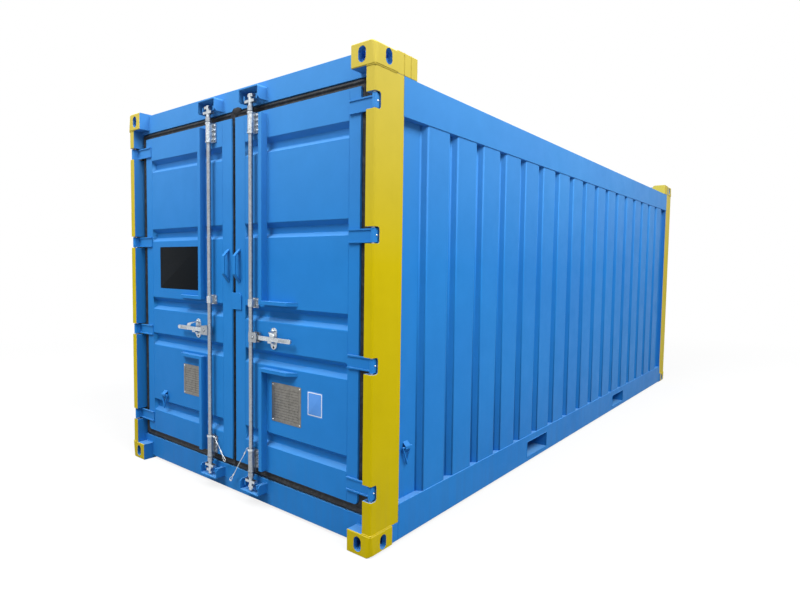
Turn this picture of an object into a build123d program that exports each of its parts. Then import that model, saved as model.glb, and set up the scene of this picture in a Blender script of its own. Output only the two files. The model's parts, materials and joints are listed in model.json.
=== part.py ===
from build123d import *
import os
from math import cos, hypot, radians, sin, tan

# A twenty-foot dry freight container of the offshore type, with two doors.
# X runs along it, with the doors at the -X end, Y across it and Z up from the
# ground. Lengths are in millimetres. What belongs to the door end is placed by
# its depth behind the end face of the corner fittings, and by its distance
# from the middle plane. The right door is the one at -Y, and the left door's
# pieces are its mirror images.

os.makedirs("parts", exist_ok=True)

# Overall size
LENGTH = 6058
WIDTH = 2438
HEIGHT = 2591

# Corner fittings
FITTING_LENGTH = 178
FITTING_WIDTH = 162
FITTING_HEIGHT = 118
FITTING_OUTER_WALL = 28
FITTING_INNER_WALL = 12
FITTING_PROUD = 5
SLOT_INSET_X = 102.5
SLOT_INSET_Y = 89.5
SLOT_LENGTH = 124
SLOT_WIDTH = 63.5
APERTURE_HEIGHT = 79.5
APERTURE_WIDTH = 51
FITTING_CORNER = 14
FITTING_EDGE = 4

# Posts, rails and end beams
POST_DEPTH = 230
POST_WIDTH = 58
POST_WALL = 6
POST_BEND = 10
RAIL_WIDTH = 60
RAIL_WALL = 6
TOP_RAIL_HEIGHT = 205
BASE_CLEARANCE = 17
BOTTOM_RAIL_HEIGHT = 198
BEAM_FACE_DEPTH = 75
BEAM_WALL = 8
HEADER_DROP = 9
HEADER_HEIGHT = 131
SILL_HEIGHT = 154

# Guard blocks beside the top fittings
GUARD_LENGTH = 169
GUARD_HEIGHT = 115
GUARD_WALL = 8
GUARD_BEVEL = 30
GUARD_SLOT_LENGTH = 34
GUARD_SLOT_WIDTH = 12
GUARD_SLOT_INSET = 32

# Pressed sheets: width of a groove's bed, width of each slope, and depth
SHEET = 3
WALL_PRESS = (38, 26, 36)
ROOF_PRESS = (70, 20, 20)
WALL_RECESS = 5
SIDE_END_BAY = 203
SIDE_GROOVE_COUNT = 16
REAR_END_BAY = 90
REAR_GROOVE_COUNT = 6
REAR_WALL_DEPTH = 85
ROOF_END_BAY = 150
ROOF_GROOVE_COUNT = 19
ROOF_DROP = 3

# Floor and underframe
FLOOR_THICKNESS = 28
FLOOR_EDGE_GAP = 6
CROSS_FLANGE = 45
CROSS_WALL = 5
CROSS_PITCH = 300
POCKET_X = 1025
POCKET_WIDTH = 360
POCKET_HEIGHT = 115
POCKET_RISE = 52
POCKET_WALL = 6

# Door leaves
LEAF_FACE_DEPTH = 58
LEAF_THICKNESS = 50
LEAF_INNER = 20
LEAF_POST_GAP = 82
LEAF_SILL_GAP = 59
LEAF_HEADER_GAP = 48
LEAF_CORNER = 25
INNER_STILE = 98
OUTER_STILE = 79
LEAF_RAIL = 100
END_GROOVE_INSET = 204
GROOVE_BELOW_HANDLE = 123
GROOVE_ABOVE_HANDLE = 141
GASKET_DEPTH = 75
GASKET_THICKNESS = 20
GASKET_EDGE_GAP = 6
GASKET_BEAM_GAP = 5
GASKET_MIDDLE_GAP = 4
GASKET_BEADS = (6, 22)
GASKET_BEAD_WIDTH = 8
GASKET_BEAD_HEIGHT = 5
OVERLAP_PLATE_REACH = 12
OVERLAP_PLATE_WIDTH = 97
OVERLAP_PLATE_RISE = 153
OVERLAP_PLATE_HEIGHT = 106
OVERLAP_PLATE_CORNER = 18
OVERLAP_NOTCH_GAP = 10

# Hinges
PIN_DEPTH = 23
PIN_INSET = 23
PIN_RADIUS = 8
PIN_CLEARANCE = 0.3
HINGE_COUNT = 4
LOWEST_HINGE_RISE = 217
HIGHEST_HINGE_DROP = 168
HINGE_HEIGHT = 72
HINGE_GAP = 6
KNUCKLE_RADIUS = 12
BLADE_LENGTH = 196
BLADE_THICKNESS = 6
RIB_HEIGHT = 6
RIB_WIDTH = 8
ARM_INNER = 14
ARM_OUTER = 7
LUG_THICKNESS = 8
LUG_TAIL = 20
NOTCH_DEPTH = 85
NOTCH_SIDE_DEPTH = 50
NOTCH_CORNER = 14

# Locking rods and their brackets
ROD_RADIUS = 13.5
ROD_DEPTH = 25
ROD_OFFSET = 218
ROD_SILL_LAP = 71
ROD_HEADER_LAP = 54
SLEEVE_CLEARANCE = 0.5
SLEEVE_RADIUS = 18
BRACKET_PLATE = 8
BRACKET_WIDTH = 76
UPPER_SLEEVE_LENGTH = 128
UPPER_SLEEVE_DROP = 3
MIDDLE_SLEEVE_LENGTH = 44
MIDDLE_SLEEVE_RISE = 183
LOWER_SLEEVE_LENGTH = 145
LOWER_SLEEVE_RISE = 44
UPPER_PLATE_INSET = 5
MIDDLE_PLATE_OVERHANG = 8
LOWER_PLATE_INSETS = (21, 10)
RING_RADIUS = 21
RING_HEIGHT = 10
TAB_LENGTH = 14
TAB_ROOT = 3
TAB_WIDTH = 10
COLLAR_RADIUS = 19
COLLAR_HEIGHT = 28
COLLAR_GAP = 6

# Cams and their keepers
CAM_REACH = 44
CAM_THICKNESS = 24
CAM_TIP_REACH = 22
CAM_TIP_SHIFT = 8
CAM_HEIGHT = 48
UPPER_CAM_RISE = 3
LOWER_CAM_DROP = 8
KEEPER_HALF_WIDTH = 94
KEEPER_REACH = 70
KEEPER_PLATE = 8
KEEPER_BEVEL = 14
UPPER_KEEPER_RISE = 11
UPPER_KEEPER_HEIGHT = 81
LOWER_KEEPER_DROP = 21
LOWER_KEEPER_HEIGHT = 69
KEEPER_BEND = 14
KEEPER_LUG = (54, 12, 30)
KEEPER_LUG_GAP = 8

# Handles, their retainers and catches
HANDLE_HEIGHT = 1055
HUB_LENGTH = 74
HUB_HEIGHT = 60
HUB_DEPTH = 40
HUB_FACE_DEPTH = 5
HUB_SLOT = 18
HUB_CORNER = 8
HUB_ROOT = 4
HUB_CHEEK = 7
LEVER_PIVOT_OFFSET = 39
LEVER_TIP = 575
LEVER_HEIGHT = 26
LEVER_THICKNESS = 12
RIVET_RADIUS = 8
RETAINER_OFFSET = 397
RETAINER_WIDTH = 55
RETAINER_HEIGHT = 130
RETAINER_PLATE = 6
SHELF_WIDTH = 45
SHELF_HEIGHT = 12
SEAT_GAP = 0.3
CATCH_RISE = 46
CATCH_PIN_RADIUS = 6
CATCH_BOSS_RADIUS = 9
CATCH_LENGTH = 30
CATCH_NOSE = 5
CATCH_THICKNESS = 6
CATCH_FACE_DEPTH = 3
CATCH_ANGLE = 40
RETAINER_HOLE_RADIUS = 7

# Door face fittings
GUARD_BAR_INNER = 303
GUARD_BAR_WIDTH = 29
GUARD_BAR_PROUD = 45
BAR_ABOVE_HANDLE = 201
BAR_BELOW_HANDLE = 183
BAR_TOP_INSET = 23
BAR_FOOT_INSET = 10
LEDGE_THICKNESS = 20
LEDGE_FRONT_REACH = 549
LEDGE_BACK_REACH = 604
PULL_INNER = 43
PULL_WIDTH = 28
PULL_THICKNESS = 8
PULL_PROUD = 42
PULL_RISE = 320
PULL_LENGTH = 216
PULL_LOW_SLOPE = 57
PULL_HIGH_SLOPE = 45

# Rings for tag lines and their saddles
RING_BAR_RADIUS = 5
RING_HALF_WIDTH = 38
RING_DROP = 88
RING_STANDOFF = 14
SADDLE_WIDTH = 44
SADDLE_THICKNESS = 5
SADDLE_SPREAD = 24
SADDLE_GAP = 0.3
SIDE_RING_INSET = 104
SIDE_RING_RISE = 283
DOOR_RING_INSET = 244
DOOR_RING_RISE = 96

# Wire rope lanyards, which hang from the lower sleeves
LANYARD_RADIUS = 2
LANYARD_SIDES = 8
FERRULE_RADIUS = 4
FERRULE_LENGTH = 14
EYE_RADIUS = 13
ARC_RATIO = 0.45

# Places that follow from the sizes above
HALF_LENGTH = LENGTH / 2
HALF_WIDTH = WIDTH / 2
FRAME_SIDE = HALF_WIDTH - FITTING_PROUD
POST_INNER = FRAME_SIDE - POST_WIDTH
POST_BACK = FITTING_PROUD + POST_DEPTH
BAY_END = HALF_LENGTH - POST_BACK
FITTING_INNER_X = HALF_LENGTH - FITTING_LENGTH
FITTING_INNER_Y = HALF_WIDTH - FITTING_WIDTH
POST_TOP = HEIGHT - FITTING_HEIGHT
RAIL_INNER = FRAME_SIDE - RAIL_WIDTH
TOP_RAIL_LOW = POST_TOP - TOP_RAIL_HEIGHT
BOTTOM_RAIL_TOP = BASE_CLEARANCE + BOTTOM_RAIL_HEIGHT
HEADER_TOP = HEIGHT - HEADER_DROP
HEADER_LOW = HEADER_TOP - HEADER_HEIGHT
SILL_TOP = BASE_CLEARANCE + SILL_HEIGHT
FLOOR_LOW = POCKET_RISE + POCKET_HEIGHT + POCKET_WALL
PIN_Y = HALF_WIDTH - PIN_INSET
LEAF_BACK_DEPTH = LEAF_FACE_DEPTH + LEAF_THICKNESS
LEVER_FACE_DEPTH = HUB_FACE_DEPTH + HUB_CHEEK + (HUB_SLOT - LEVER_THICKNESS) / 2
LEVER_PIVOT = ROD_OFFSET + LEVER_PIVOT_OFFSET
LEAF_OUTER = POST_INNER - LEAF_POST_GAP
LEAF_LOW = SILL_TOP + LEAF_SILL_GAP
LEAF_HIGH = HEADER_LOW - LEAF_HEADER_GAP
LOW_GROOVE = LEAF_LOW + END_GROOVE_INSET
HIGH_GROOVE = LEAF_HIGH - END_GROOVE_INSET
MIDDLE_GROOVE = HANDLE_HEIGHT + GROOVE_ABOVE_HANDLE
DOOR_GROOVES = (LOW_GROOVE, HANDLE_HEIGHT - GROOVE_BELOW_HANDLE, MIDDLE_GROOVE,
                (MIDDLE_GROOVE + HIGH_GROOVE) / 2, HIGH_GROOVE)
LOWEST_HINGE = FITTING_HEIGHT + LOWEST_HINGE_RISE
HINGE_PITCH = (POST_TOP - HIGHEST_HINGE_DROP - LOWEST_HINGE) / (HINGE_COUNT - 1)
HINGE_HEIGHTS = [LOWEST_HINGE + i * HINGE_PITCH for i in range(HINGE_COUNT)]
ROD_LOW = SILL_TOP - ROD_SILL_LAP
ROD_HIGH = HEADER_LOW + ROD_HEADER_LAP
UPPER_SLEEVE = (LEAF_HIGH - UPPER_SLEEVE_DROP - UPPER_SLEEVE_LENGTH, LEAF_HIGH - UPPER_SLEEVE_DROP)
MIDDLE_SLEEVE = (HANDLE_HEIGHT + MIDDLE_SLEEVE_RISE,
                 HANDLE_HEIGHT + MIDDLE_SLEEVE_RISE + MIDDLE_SLEEVE_LENGTH)
LOWER_SLEEVE = (SILL_TOP + LOWER_SLEEVE_RISE, SILL_TOP + LOWER_SLEEVE_RISE + LOWER_SLEEVE_LENGTH)
UPPER_BRACKET = (UPPER_SLEEVE[0] + UPPER_PLATE_INSET, UPPER_SLEEVE[1] - UPPER_PLATE_INSET)
MIDDLE_BRACKET = (MIDDLE_SLEEVE[0] - MIDDLE_PLATE_OVERHANG, MIDDLE_SLEEVE[1] + MIDDLE_PLATE_OVERHANG)
LOWER_BRACKET = (LOWER_SLEEVE[0] + LOWER_PLATE_INSETS[0], LOWER_SLEEVE[1] - LOWER_PLATE_INSETS[1])
UPPER_CAM = (HEADER_LOW + UPPER_CAM_RISE, HEADER_LOW + UPPER_CAM_RISE + CAM_HEIGHT)
LOWER_CAM = (SILL_TOP - LOWER_CAM_DROP - CAM_HEIGHT, SILL_TOP - LOWER_CAM_DROP)
UPPER_KEEPER = (HEADER_LOW + UPPER_KEEPER_RISE, HEADER_LOW + UPPER_KEEPER_RISE + UPPER_KEEPER_HEIGHT)
LOWER_KEEPER = (SILL_TOP - LOWER_KEEPER_DROP - LOWER_KEEPER_HEIGHT, SILL_TOP - LOWER_KEEPER_DROP)
UPPER_BAR = (HANDLE_HEIGHT + BAR_ABOVE_HANDLE, LEAF_HIGH - BAR_TOP_INSET)
LOWER_BAR = (LEAF_LOW + BAR_FOOT_INSET, HANDLE_HEIGHT - BAR_BELOW_HANDLE)
PULL_LOW = HANDLE_HEIGHT + PULL_RISE
PULL_HIGH = PULL_LOW + PULL_LENGTH
OVERLAP_PLATE_LOW = HANDLE_HEIGHT + OVERLAP_PLATE_RISE


def at_depth(depth):
    """X of a plane at this depth behind the door end of the fittings."""
    return -HALF_LENGTH + depth


def pressed_face(ends, centres, press, behind=0, sunk_ends=False):
    """Points along one face of a pressed sheet whose crests lie at height 0.

    The other face lies behind by the sheet's thickness, and its folds move so
    that the slopes keep that thickness too.
    """
    bed_width, slope, depth = press
    bed = bed_width / 2 + behind * (hypot(slope, depth) - slope) / depth
    mouth = bed + slope
    low = -depth - behind
    points = []
    for centre in centres:
        points += [(centre - mouth, -behind), (centre - bed, low)]
        points += [(centre + bed, low), (centre + mouth, -behind)]
    if sunk_ends:
        return [(ends[0], low)] + points[2:-2] + [(ends[1], low)]
    return [(ends[0], -behind)] + points + [(ends[1], -behind)]


def even_grooves(half_span, end_bay, grooves, press):
    """Centres of even grooves, with the sunk bay at each end as one more."""
    last = half_span - end_bay + press[0] / 2
    pitch = 2 * last / (grooves + 1)
    return [-last + i * pitch for i in range(grooves + 2)]


def sheet_outline(ends, centres, press, sunk_ends=False):
    """Closed outline of a pressed sheet, front face first."""
    front = pressed_face(ends, centres, press, 0, sunk_ends)
    back = pressed_face(ends, centres, press, SHEET, sunk_ends)
    return front + back[::-1]


def save(piece, name):
    """Label a finished piece and write it under its own name."""
    piece.part.label = name
    export_step(piece.part, f"parts/{name}.step")


def save_pair(piece, name):
    """Write a right door piece, and its mirror image for the left door."""
    save(piece, f"right_{name}")
    with BuildPart() as twin:
        mirror(piece.part, about=Plane.XZ, mode=Mode.ADD)
    save(twin, f"left_{name}")


def on_outer_side(edge):
    """Whether an edge lies on the outer end or side of a fitting."""
    middle = edge.center()
    return middle.X > HALF_LENGTH - FITTING_CORNER or middle.Y > HALF_WIDTH - FITTING_CORNER


# Corner fittings: hollow castings with a slot below and holes in both outer sides
slot_x = HALF_LENGTH - SLOT_INSET_X
slot_y = HALF_WIDTH - SLOT_INSET_Y
with BuildPart() as bottom_fittings:
    with BuildSketch():
        with Locations((HALF_LENGTH - FITTING_LENGTH / 2, HALF_WIDTH - FITTING_WIDTH / 2)):
            Rectangle(FITTING_LENGTH, FITTING_WIDTH)
    extrude(amount=FITTING_HEIGHT)
    outer_corner = bottom_fittings.edges().filter_by(Axis.Z).group_by(Axis.X)[-1].sort_by(Axis.Y)[-1]
    fillet(outer_corner, FITTING_CORNER)
    rims = bottom_fittings.edges().group_by(Axis.Z)
    chamfer((rims[0] + rims[-1]).filter_by(on_outer_side), FITTING_EDGE)
    with BuildSketch(Plane.XY.offset(FITTING_OUTER_WALL)):
        cavity_shift = (FITTING_OUTER_WALL - FITTING_INNER_WALL) / 2
        with Locations((HALF_LENGTH - FITTING_LENGTH / 2 - cavity_shift,
                        HALF_WIDTH - FITTING_WIDTH / 2 - cavity_shift)):
            Rectangle(FITTING_LENGTH - FITTING_OUTER_WALL - FITTING_INNER_WALL,
                      FITTING_WIDTH - FITTING_OUTER_WALL - FITTING_INNER_WALL)
    extrude(amount=FITTING_HEIGHT - FITTING_OUTER_WALL - FITTING_INNER_WALL, mode=Mode.SUBTRACT)
    with BuildSketch():
        with Locations((slot_x, slot_y)):
            SlotOverall(SLOT_LENGTH, SLOT_WIDTH)
    extrude(amount=FITTING_OUTER_WALL, mode=Mode.SUBTRACT)
    with BuildSketch(Plane.YZ.offset(HALF_LENGTH)):
        with Locations((slot_y, FITTING_HEIGHT / 2)):
            SlotOverall(APERTURE_HEIGHT, APERTURE_WIDTH, rotation=90)
    extrude(amount=-FITTING_OUTER_WALL, mode=Mode.SUBTRACT)
    with BuildSketch(Plane.XZ.offset(-HALF_WIDTH)):
        with Locations((slot_x, FITTING_HEIGHT / 2)):
            SlotOverall(APERTURE_HEIGHT, APERTURE_WIDTH, rotation=90)
    extrude(amount=FITTING_OUTER_WALL, mode=Mode.SUBTRACT)
    mirror(about=Plane.XZ)
    mirror(about=Plane.YZ)
save(bottom_fittings, "bottom_fittings")

with BuildPart() as top_fittings:
    mirror(bottom_fittings.part, about=Plane.XY.offset(HEIGHT / 2))
save(top_fittings, "top_fittings")

# Rear posts: bent tubes between the fittings, rounded at the outer corner
with BuildPart() as rear_posts:
    with BuildSketch(Plane.XY.offset(FITTING_HEIGHT)) as post_section:
        with Locations((HALF_LENGTH - FITTING_PROUD - POST_DEPTH / 2, FRAME_SIDE - POST_WIDTH / 2)):
            Rectangle(POST_DEPTH, POST_WIDTH)
            fillet(post_section.vertices().group_by(Axis.X)[-1].sort_by(Axis.Y)[-1], POST_BEND)
            Rectangle(POST_DEPTH - 2 * POST_WALL, POST_WIDTH - 2 * POST_WALL, mode=Mode.SUBTRACT)
    extrude(amount=POST_TOP - FITTING_HEIGHT)
    mirror(about=Plane.XZ)
save(rear_posts, "rear_posts")

# Door posts: the same tubes, notched where the hinge knuckles sit
with BuildPart() as door_posts:
    mirror(rear_posts.part, about=Plane.YZ)
    for side in (-1, 1):
        for height in HINGE_HEIGHTS:
            notch_height = HINGE_HEIGHT + 2 * HINGE_GAP
            notch_inner = POST_INNER - POST_WALL
            with Locations((at_depth(NOTCH_DEPTH / 2), side * (PIN_Y + notch_inner) / 2, height)):
                Box(NOTCH_DEPTH, PIN_Y - notch_inner, notch_height, mode=Mode.SUBTRACT)
            side_plane = Plane(origin=(at_depth(0), side * PIN_Y, height), x_dir=(1, 0, 0), z_dir=(0, side, 0))
            with BuildSketch(side_plane):
                RectangleRounded(2 * NOTCH_SIDE_DEPTH, notch_height, NOTCH_CORNER)
            extrude(amount=HALF_WIDTH - PIN_Y, mode=Mode.SUBTRACT)
save(door_posts, "door_posts")

# Guard blocks: open-bottomed boxes on the top rails, beside the top fittings
with BuildPart() as top_guards:
    guard_width = FRAME_SIDE - FITTING_INNER_Y
    with BuildSketch(Plane.XY.offset(POST_TOP)):
        with Locations((FITTING_INNER_X - GUARD_LENGTH / 2, FRAME_SIDE - guard_width / 2)):
            Rectangle(GUARD_LENGTH, guard_width)
    extrude(amount=GUARD_HEIGHT)
    inner_top = top_guards.edges().filter_by(Axis.X).group_by(Axis.Z)[-1].sort_by(Axis.Y)[0]
    chamfer(inner_top, GUARD_BEVEL)
    offset(amount=-GUARD_WALL, openings=top_guards.faces().sort_by(Axis.Z)[0], kind=Kind.INTERSECTION)
    with BuildSketch(Plane.YZ.offset(FITTING_INNER_X - GUARD_LENGTH)):
        with Locations((FITTING_INNER_Y + GUARD_SLOT_INSET, POST_TOP + GUARD_SLOT_LENGTH)):
            Rectangle(GUARD_SLOT_WIDTH, GUARD_SLOT_LENGTH)
    extrude(amount=GUARD_WALL, mode=Mode.SUBTRACT)
    mirror(about=Plane.XZ)
    mirror(about=Plane.YZ)
save(top_guards, "top_guards")

# Top side rails: rectangular tubes between the posts
with BuildPart() as top_rails:
    with BuildSketch(Plane.YZ.offset(-BAY_END)):
        with Locations((FRAME_SIDE - RAIL_WIDTH / 2, TOP_RAIL_LOW + TOP_RAIL_HEIGHT / 2)):
            Rectangle(RAIL_WIDTH, TOP_RAIL_HEIGHT)
            Rectangle(RAIL_WIDTH - 2 * RAIL_WALL, TOP_RAIL_HEIGHT - 2 * RAIL_WALL, mode=Mode.SUBTRACT)
    extrude(amount=2 * BAY_END)
    mirror(about=Plane.XZ)
save(top_rails, "top_rails")

# Bottom side rails: channels open to the inside, cut through at the fork pockets
with BuildPart() as bottom_rails:
    with BuildSketch(Plane.YZ.offset(-BAY_END)):
        with Locations((FRAME_SIDE - RAIL_WIDTH / 2, BASE_CLEARANCE + BOTTOM_RAIL_HEIGHT / 2)):
            Rectangle(RAIL_WIDTH, BOTTOM_RAIL_HEIGHT)
        with Locations((FRAME_SIDE - RAIL_WALL - RAIL_WIDTH / 2,
                        BASE_CLEARANCE + BOTTOM_RAIL_HEIGHT / 2)):
            Rectangle(RAIL_WIDTH, BOTTOM_RAIL_HEIGHT - 2 * RAIL_WALL, mode=Mode.SUBTRACT)
    extrude(amount=2 * BAY_END)
    with BuildSketch(Plane.XZ.offset(-FRAME_SIDE)):
        with Locations((0, (BASE_CLEARANCE + FITTING_HEIGHT) / 2)):
            Rectangle(2 * FITTING_INNER_X, FITTING_HEIGHT - BASE_CLEARANCE)
    extrude(amount=RAIL_WALL)
    with BuildSketch(Plane.XZ.offset(-FRAME_SIDE)):
        with Locations((-POCKET_X, POCKET_RISE + POCKET_HEIGHT / 2),
                       (POCKET_X, POCKET_RISE + POCKET_HEIGHT / 2)):
            Rectangle(POCKET_WIDTH, POCKET_HEIGHT)
    extrude(amount=RAIL_WALL, mode=Mode.SUBTRACT)
    mirror(about=Plane.XZ)
save(bottom_rails, "bottom_rails")


def end_beam(low, high):
    """A channel across the door end, stepped round the fittings."""
    with BuildPart() as beam:
        front = Plane(origin=(at_depth(BEAM_FACE_DEPTH), 0, 0), x_dir=(0, 1, 0), z_dir=(1, 0, 0))
        with BuildSketch(front):
            with Locations((0, (low + high) / 2)):
                Rectangle(2 * FITTING_INNER_Y, high - low)
            clear_low = max(low, FITTING_HEIGHT)
            clear_high = min(high, POST_TOP)
            with Locations((0, (clear_low + clear_high) / 2)):
                Rectangle(2 * POST_INNER, clear_high - clear_low)
        extrude(amount=POST_BACK - BEAM_FACE_DEPTH)
        with BuildSketch(front.offset(BEAM_WALL)):
            with Locations((0, (low + high) / 2)):
                Rectangle(2 * POST_INNER, high - low - 2 * BEAM_WALL)
        extrude(amount=POST_BACK - BEAM_FACE_DEPTH - 2 * BEAM_WALL, mode=Mode.SUBTRACT)
    return beam


# Header and sill over and under the doors, and the same beams at the rear
door_header = end_beam(HEADER_LOW, HEADER_TOP)
save(door_header, "door_header")

door_sill = end_beam(BASE_CLEARANCE, SILL_TOP)
save(door_sill, "door_sill")

with BuildPart() as rear_header:
    mirror(door_header.part, about=Plane.YZ)
save(rear_header, "rear_header")

with BuildPart() as rear_sill:
    mirror(door_sill.part, about=Plane.YZ)
save(rear_sill, "rear_sill")

# Side walls: sheets with upright grooves between the rails
side_face = FRAME_SIDE - WALL_RECESS
side_centres = even_grooves(BAY_END, SIDE_END_BAY, SIDE_GROOVE_COUNT, WALL_PRESS)
with BuildPart() as right_wall:
    side_plane = Plane(origin=(0, -side_face, BOTTOM_RAIL_TOP), x_dir=(-1, 0, 0), z_dir=(0, 0, 1))
    with BuildSketch(side_plane):
        with BuildLine():
            Polyline(sheet_outline((-BAY_END, BAY_END), side_centres, WALL_PRESS, True), close=True)
        make_face()
    extrude(amount=TOP_RAIL_LOW - BOTTOM_RAIL_TOP)
save_pair(right_wall, "side_wall")

# Rear wall: the same pressing between the rear posts
rear_centres = even_grooves(POST_INNER, REAR_END_BAY, REAR_GROOVE_COUNT, WALL_PRESS)
with BuildPart() as rear_wall:
    rear_plane = Plane(origin=(HALF_LENGTH - REAR_WALL_DEPTH, 0, SILL_TOP),
                       x_dir=(0, -1, 0), z_dir=(0, 0, 1))
    with BuildSketch(rear_plane):
        with BuildLine():
            Polyline(sheet_outline((-POST_INNER, POST_INNER), rear_centres, WALL_PRESS, True), close=True)
        make_face()
    extrude(amount=HEADER_LOW - SILL_TOP)
save(rear_wall, "rear_wall")

# Roof: shallow grooves across, between the top rails
roof_centres = even_grooves(BAY_END, ROOF_END_BAY, ROOF_GROOVE_COUNT, ROOF_PRESS)[1:-1]
with BuildPart() as roof:
    with BuildSketch(Plane.XZ.offset(-RAIL_INNER)):
        with BuildLine():
            outline = sheet_outline((-BAY_END, BAY_END), roof_centres, ROOF_PRESS)
            Polyline([(x, z + POST_TOP - ROOF_DROP) for x, z in outline], close=True)
        make_face()
    extrude(amount=2 * RAIL_INNER)
save(roof, "roof")

# Floor: plywood over the cross members
with BuildPart() as floor:
    with BuildSketch(Plane.XY.offset(FLOOR_LOW)):
        Rectangle(2 * BAY_END, 2 * (FRAME_SIDE - RAIL_WALL - FLOOR_EDGE_GAP))
    extrude(amount=FLOOR_THICKNESS)
save(floor, "floor")

# Cross members: channels from rail to rail, clear of the fork pockets
pocket_edge = POCKET_X + POCKET_WIDTH / 2 + POCKET_WALL
inner_edge = POCKET_X - POCKET_WIDTH / 2 - POCKET_WALL
inner_count = int((inner_edge - CROSS_FLANGE) // CROSS_PITCH)
outer_count = int((BAY_END - pocket_edge - CROSS_FLANGE) // CROSS_PITCH)
cross_places = [i * CROSS_PITCH for i in range(-inner_count, inner_count + 1)]
for i in range(outer_count):
    cross_places.append(pocket_edge + (i + 0.5) * CROSS_PITCH)
    cross_places.append(-pocket_edge - (i + 0.5) * CROSS_PITCH)
with BuildPart() as cross_members:
    member_low = BASE_CLEARANCE + RAIL_WALL
    member_height = FLOOR_LOW - member_low
    member_reach = FRAME_SIDE - RAIL_WALL
    with BuildSketch(Plane.XZ.offset(-member_reach)):
        with Locations([(x, member_low + member_height / 2) for x in cross_places]):
            Rectangle(CROSS_FLANGE, member_height)
        with Locations([(x + CROSS_WALL, member_low + member_height / 2) for x in cross_places]):
            Rectangle(CROSS_FLANGE, member_height - 2 * CROSS_WALL, mode=Mode.SUBTRACT)
    extrude(amount=2 * member_reach)
save(cross_members, "cross_members")

# Fork pockets: tubes across the underframe
with BuildPart() as fork_pockets:
    with BuildSketch(Plane.XZ.offset(-member_reach)):
        with Locations((-POCKET_X, POCKET_RISE + POCKET_HEIGHT / 2),
                       (POCKET_X, POCKET_RISE + POCKET_HEIGHT / 2)):
            Rectangle(POCKET_WIDTH + 2 * POCKET_WALL, POCKET_HEIGHT + 2 * POCKET_WALL)
            Rectangle(POCKET_WIDTH, POCKET_HEIGHT, mode=Mode.SUBTRACT)
    extrude(amount=2 * member_reach)
save(fork_pockets, "fork_pockets")


def leaf_outline():
    """Outline of the right leaf in the plane of the door, with its round corner."""
    with BuildSketch(mode=Mode.PRIVATE) as outline:
        with Locations((-(LEAF_INNER + LEAF_OUTER) / 2, (LEAF_LOW + LEAF_HIGH) / 2)):
            Rectangle(LEAF_OUTER - LEAF_INNER, LEAF_HIGH - LEAF_LOW)
        corner = outline.vertices().group_by(Axis.Y)[0].sort_by(Axis.X)[0]
        fillet(corner, LEAF_CORNER)
    return outline.sketch


def door_plane(depth):
    """Plane across the door end: local x is +Y, local y is +Z, and out is +X."""
    return Plane(origin=(at_depth(depth), 0, 0), x_dir=(0, 1, 0), z_dir=(1, 0, 0))


# Door leaf: a frame of stiles and rails round a sheet with level grooves
with BuildPart() as leaf:
    with BuildSketch(door_plane(LEAF_FACE_DEPTH)):
        add(leaf_outline())
        window_inner = LEAF_INNER + INNER_STILE
        window_outer = LEAF_OUTER - OUTER_STILE
        with Locations((-(window_inner + window_outer) / 2, (LEAF_LOW + LEAF_HIGH) / 2)):
            Rectangle(window_outer - window_inner, LEAF_HIGH - LEAF_LOW - 2 * LEAF_RAIL,
                      mode=Mode.SUBTRACT)
    extrude(amount=LEAF_THICKNESS)
    sheet_plane = Plane(origin=(at_depth(LEAF_FACE_DEPTH), -window_inner, 0),
                        x_dir=(0, 0, 1), z_dir=(0, -1, 0))
    with BuildSketch(sheet_plane):
        with BuildLine():
            Polyline(sheet_outline((LEAF_LOW + LEAF_RAIL, LEAF_HIGH - LEAF_RAIL),
                                   DOOR_GROOVES, WALL_PRESS), close=True)
        make_face()
    extrude(amount=window_outer - window_inner)
save_pair(leaf, "door_leaf")

# Door gasket: a flat rubber frame round the leaf's edges
gasket_outer = POST_INNER - GASKET_EDGE_GAP
gasket_low = SILL_TOP + GASKET_BEAM_GAP
gasket_high = HEADER_LOW - GASKET_BEAM_GAP
with BuildPart() as gasket:
    with BuildSketch(door_plane(GASKET_DEPTH)):
        with Locations((-(GASKET_MIDDLE_GAP + gasket_outer) / 2, (gasket_low + gasket_high) / 2)):
            Rectangle(gasket_outer - GASKET_MIDDLE_GAP, gasket_high - gasket_low)
        add(leaf_outline(), mode=Mode.SUBTRACT)
    extrude(amount=GASKET_THICKNESS)
    for inset in GASKET_BEADS:
        with BuildSketch(door_plane(GASKET_DEPTH)):
            bead_outer = gasket_outer - inset
            bead_inner = LEAF_INNER - GASKET_BEAD_WIDTH
            with Locations((-(bead_inner + bead_outer) / 2, (gasket_low + gasket_high) / 2)):
                Rectangle(bead_outer - bead_inner, gasket_high - gasket_low - 2 * inset)
                Rectangle(bead_outer - bead_inner - 2 * GASKET_BEAD_WIDTH,
                          gasket_high - gasket_low - 2 * inset - 2 * GASKET_BEAD_WIDTH, mode=Mode.SUBTRACT)
        extrude(amount=-GASKET_BEAD_HEIGHT)
save(gasket, "right_gasket")

# The left gasket has no middle lip behind the overlap plate
with BuildPart() as left_gasket:
    mirror(gasket.part, about=Plane.XZ)
    with BuildSketch(door_plane(GASKET_DEPTH - GASKET_BEAD_HEIGHT)):
        with Locations((LEAF_INNER / 2, OVERLAP_PLATE_LOW + OVERLAP_PLATE_HEIGHT / 2)):
            Rectangle(LEAF_INNER, OVERLAP_PLATE_HEIGHT + 2 * OVERLAP_NOTCH_GAP)
    extrude(amount=GASKET_THICKNESS + GASKET_BEAD_HEIGHT, mode=Mode.SUBTRACT)
save(left_gasket, "left_gasket")

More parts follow.
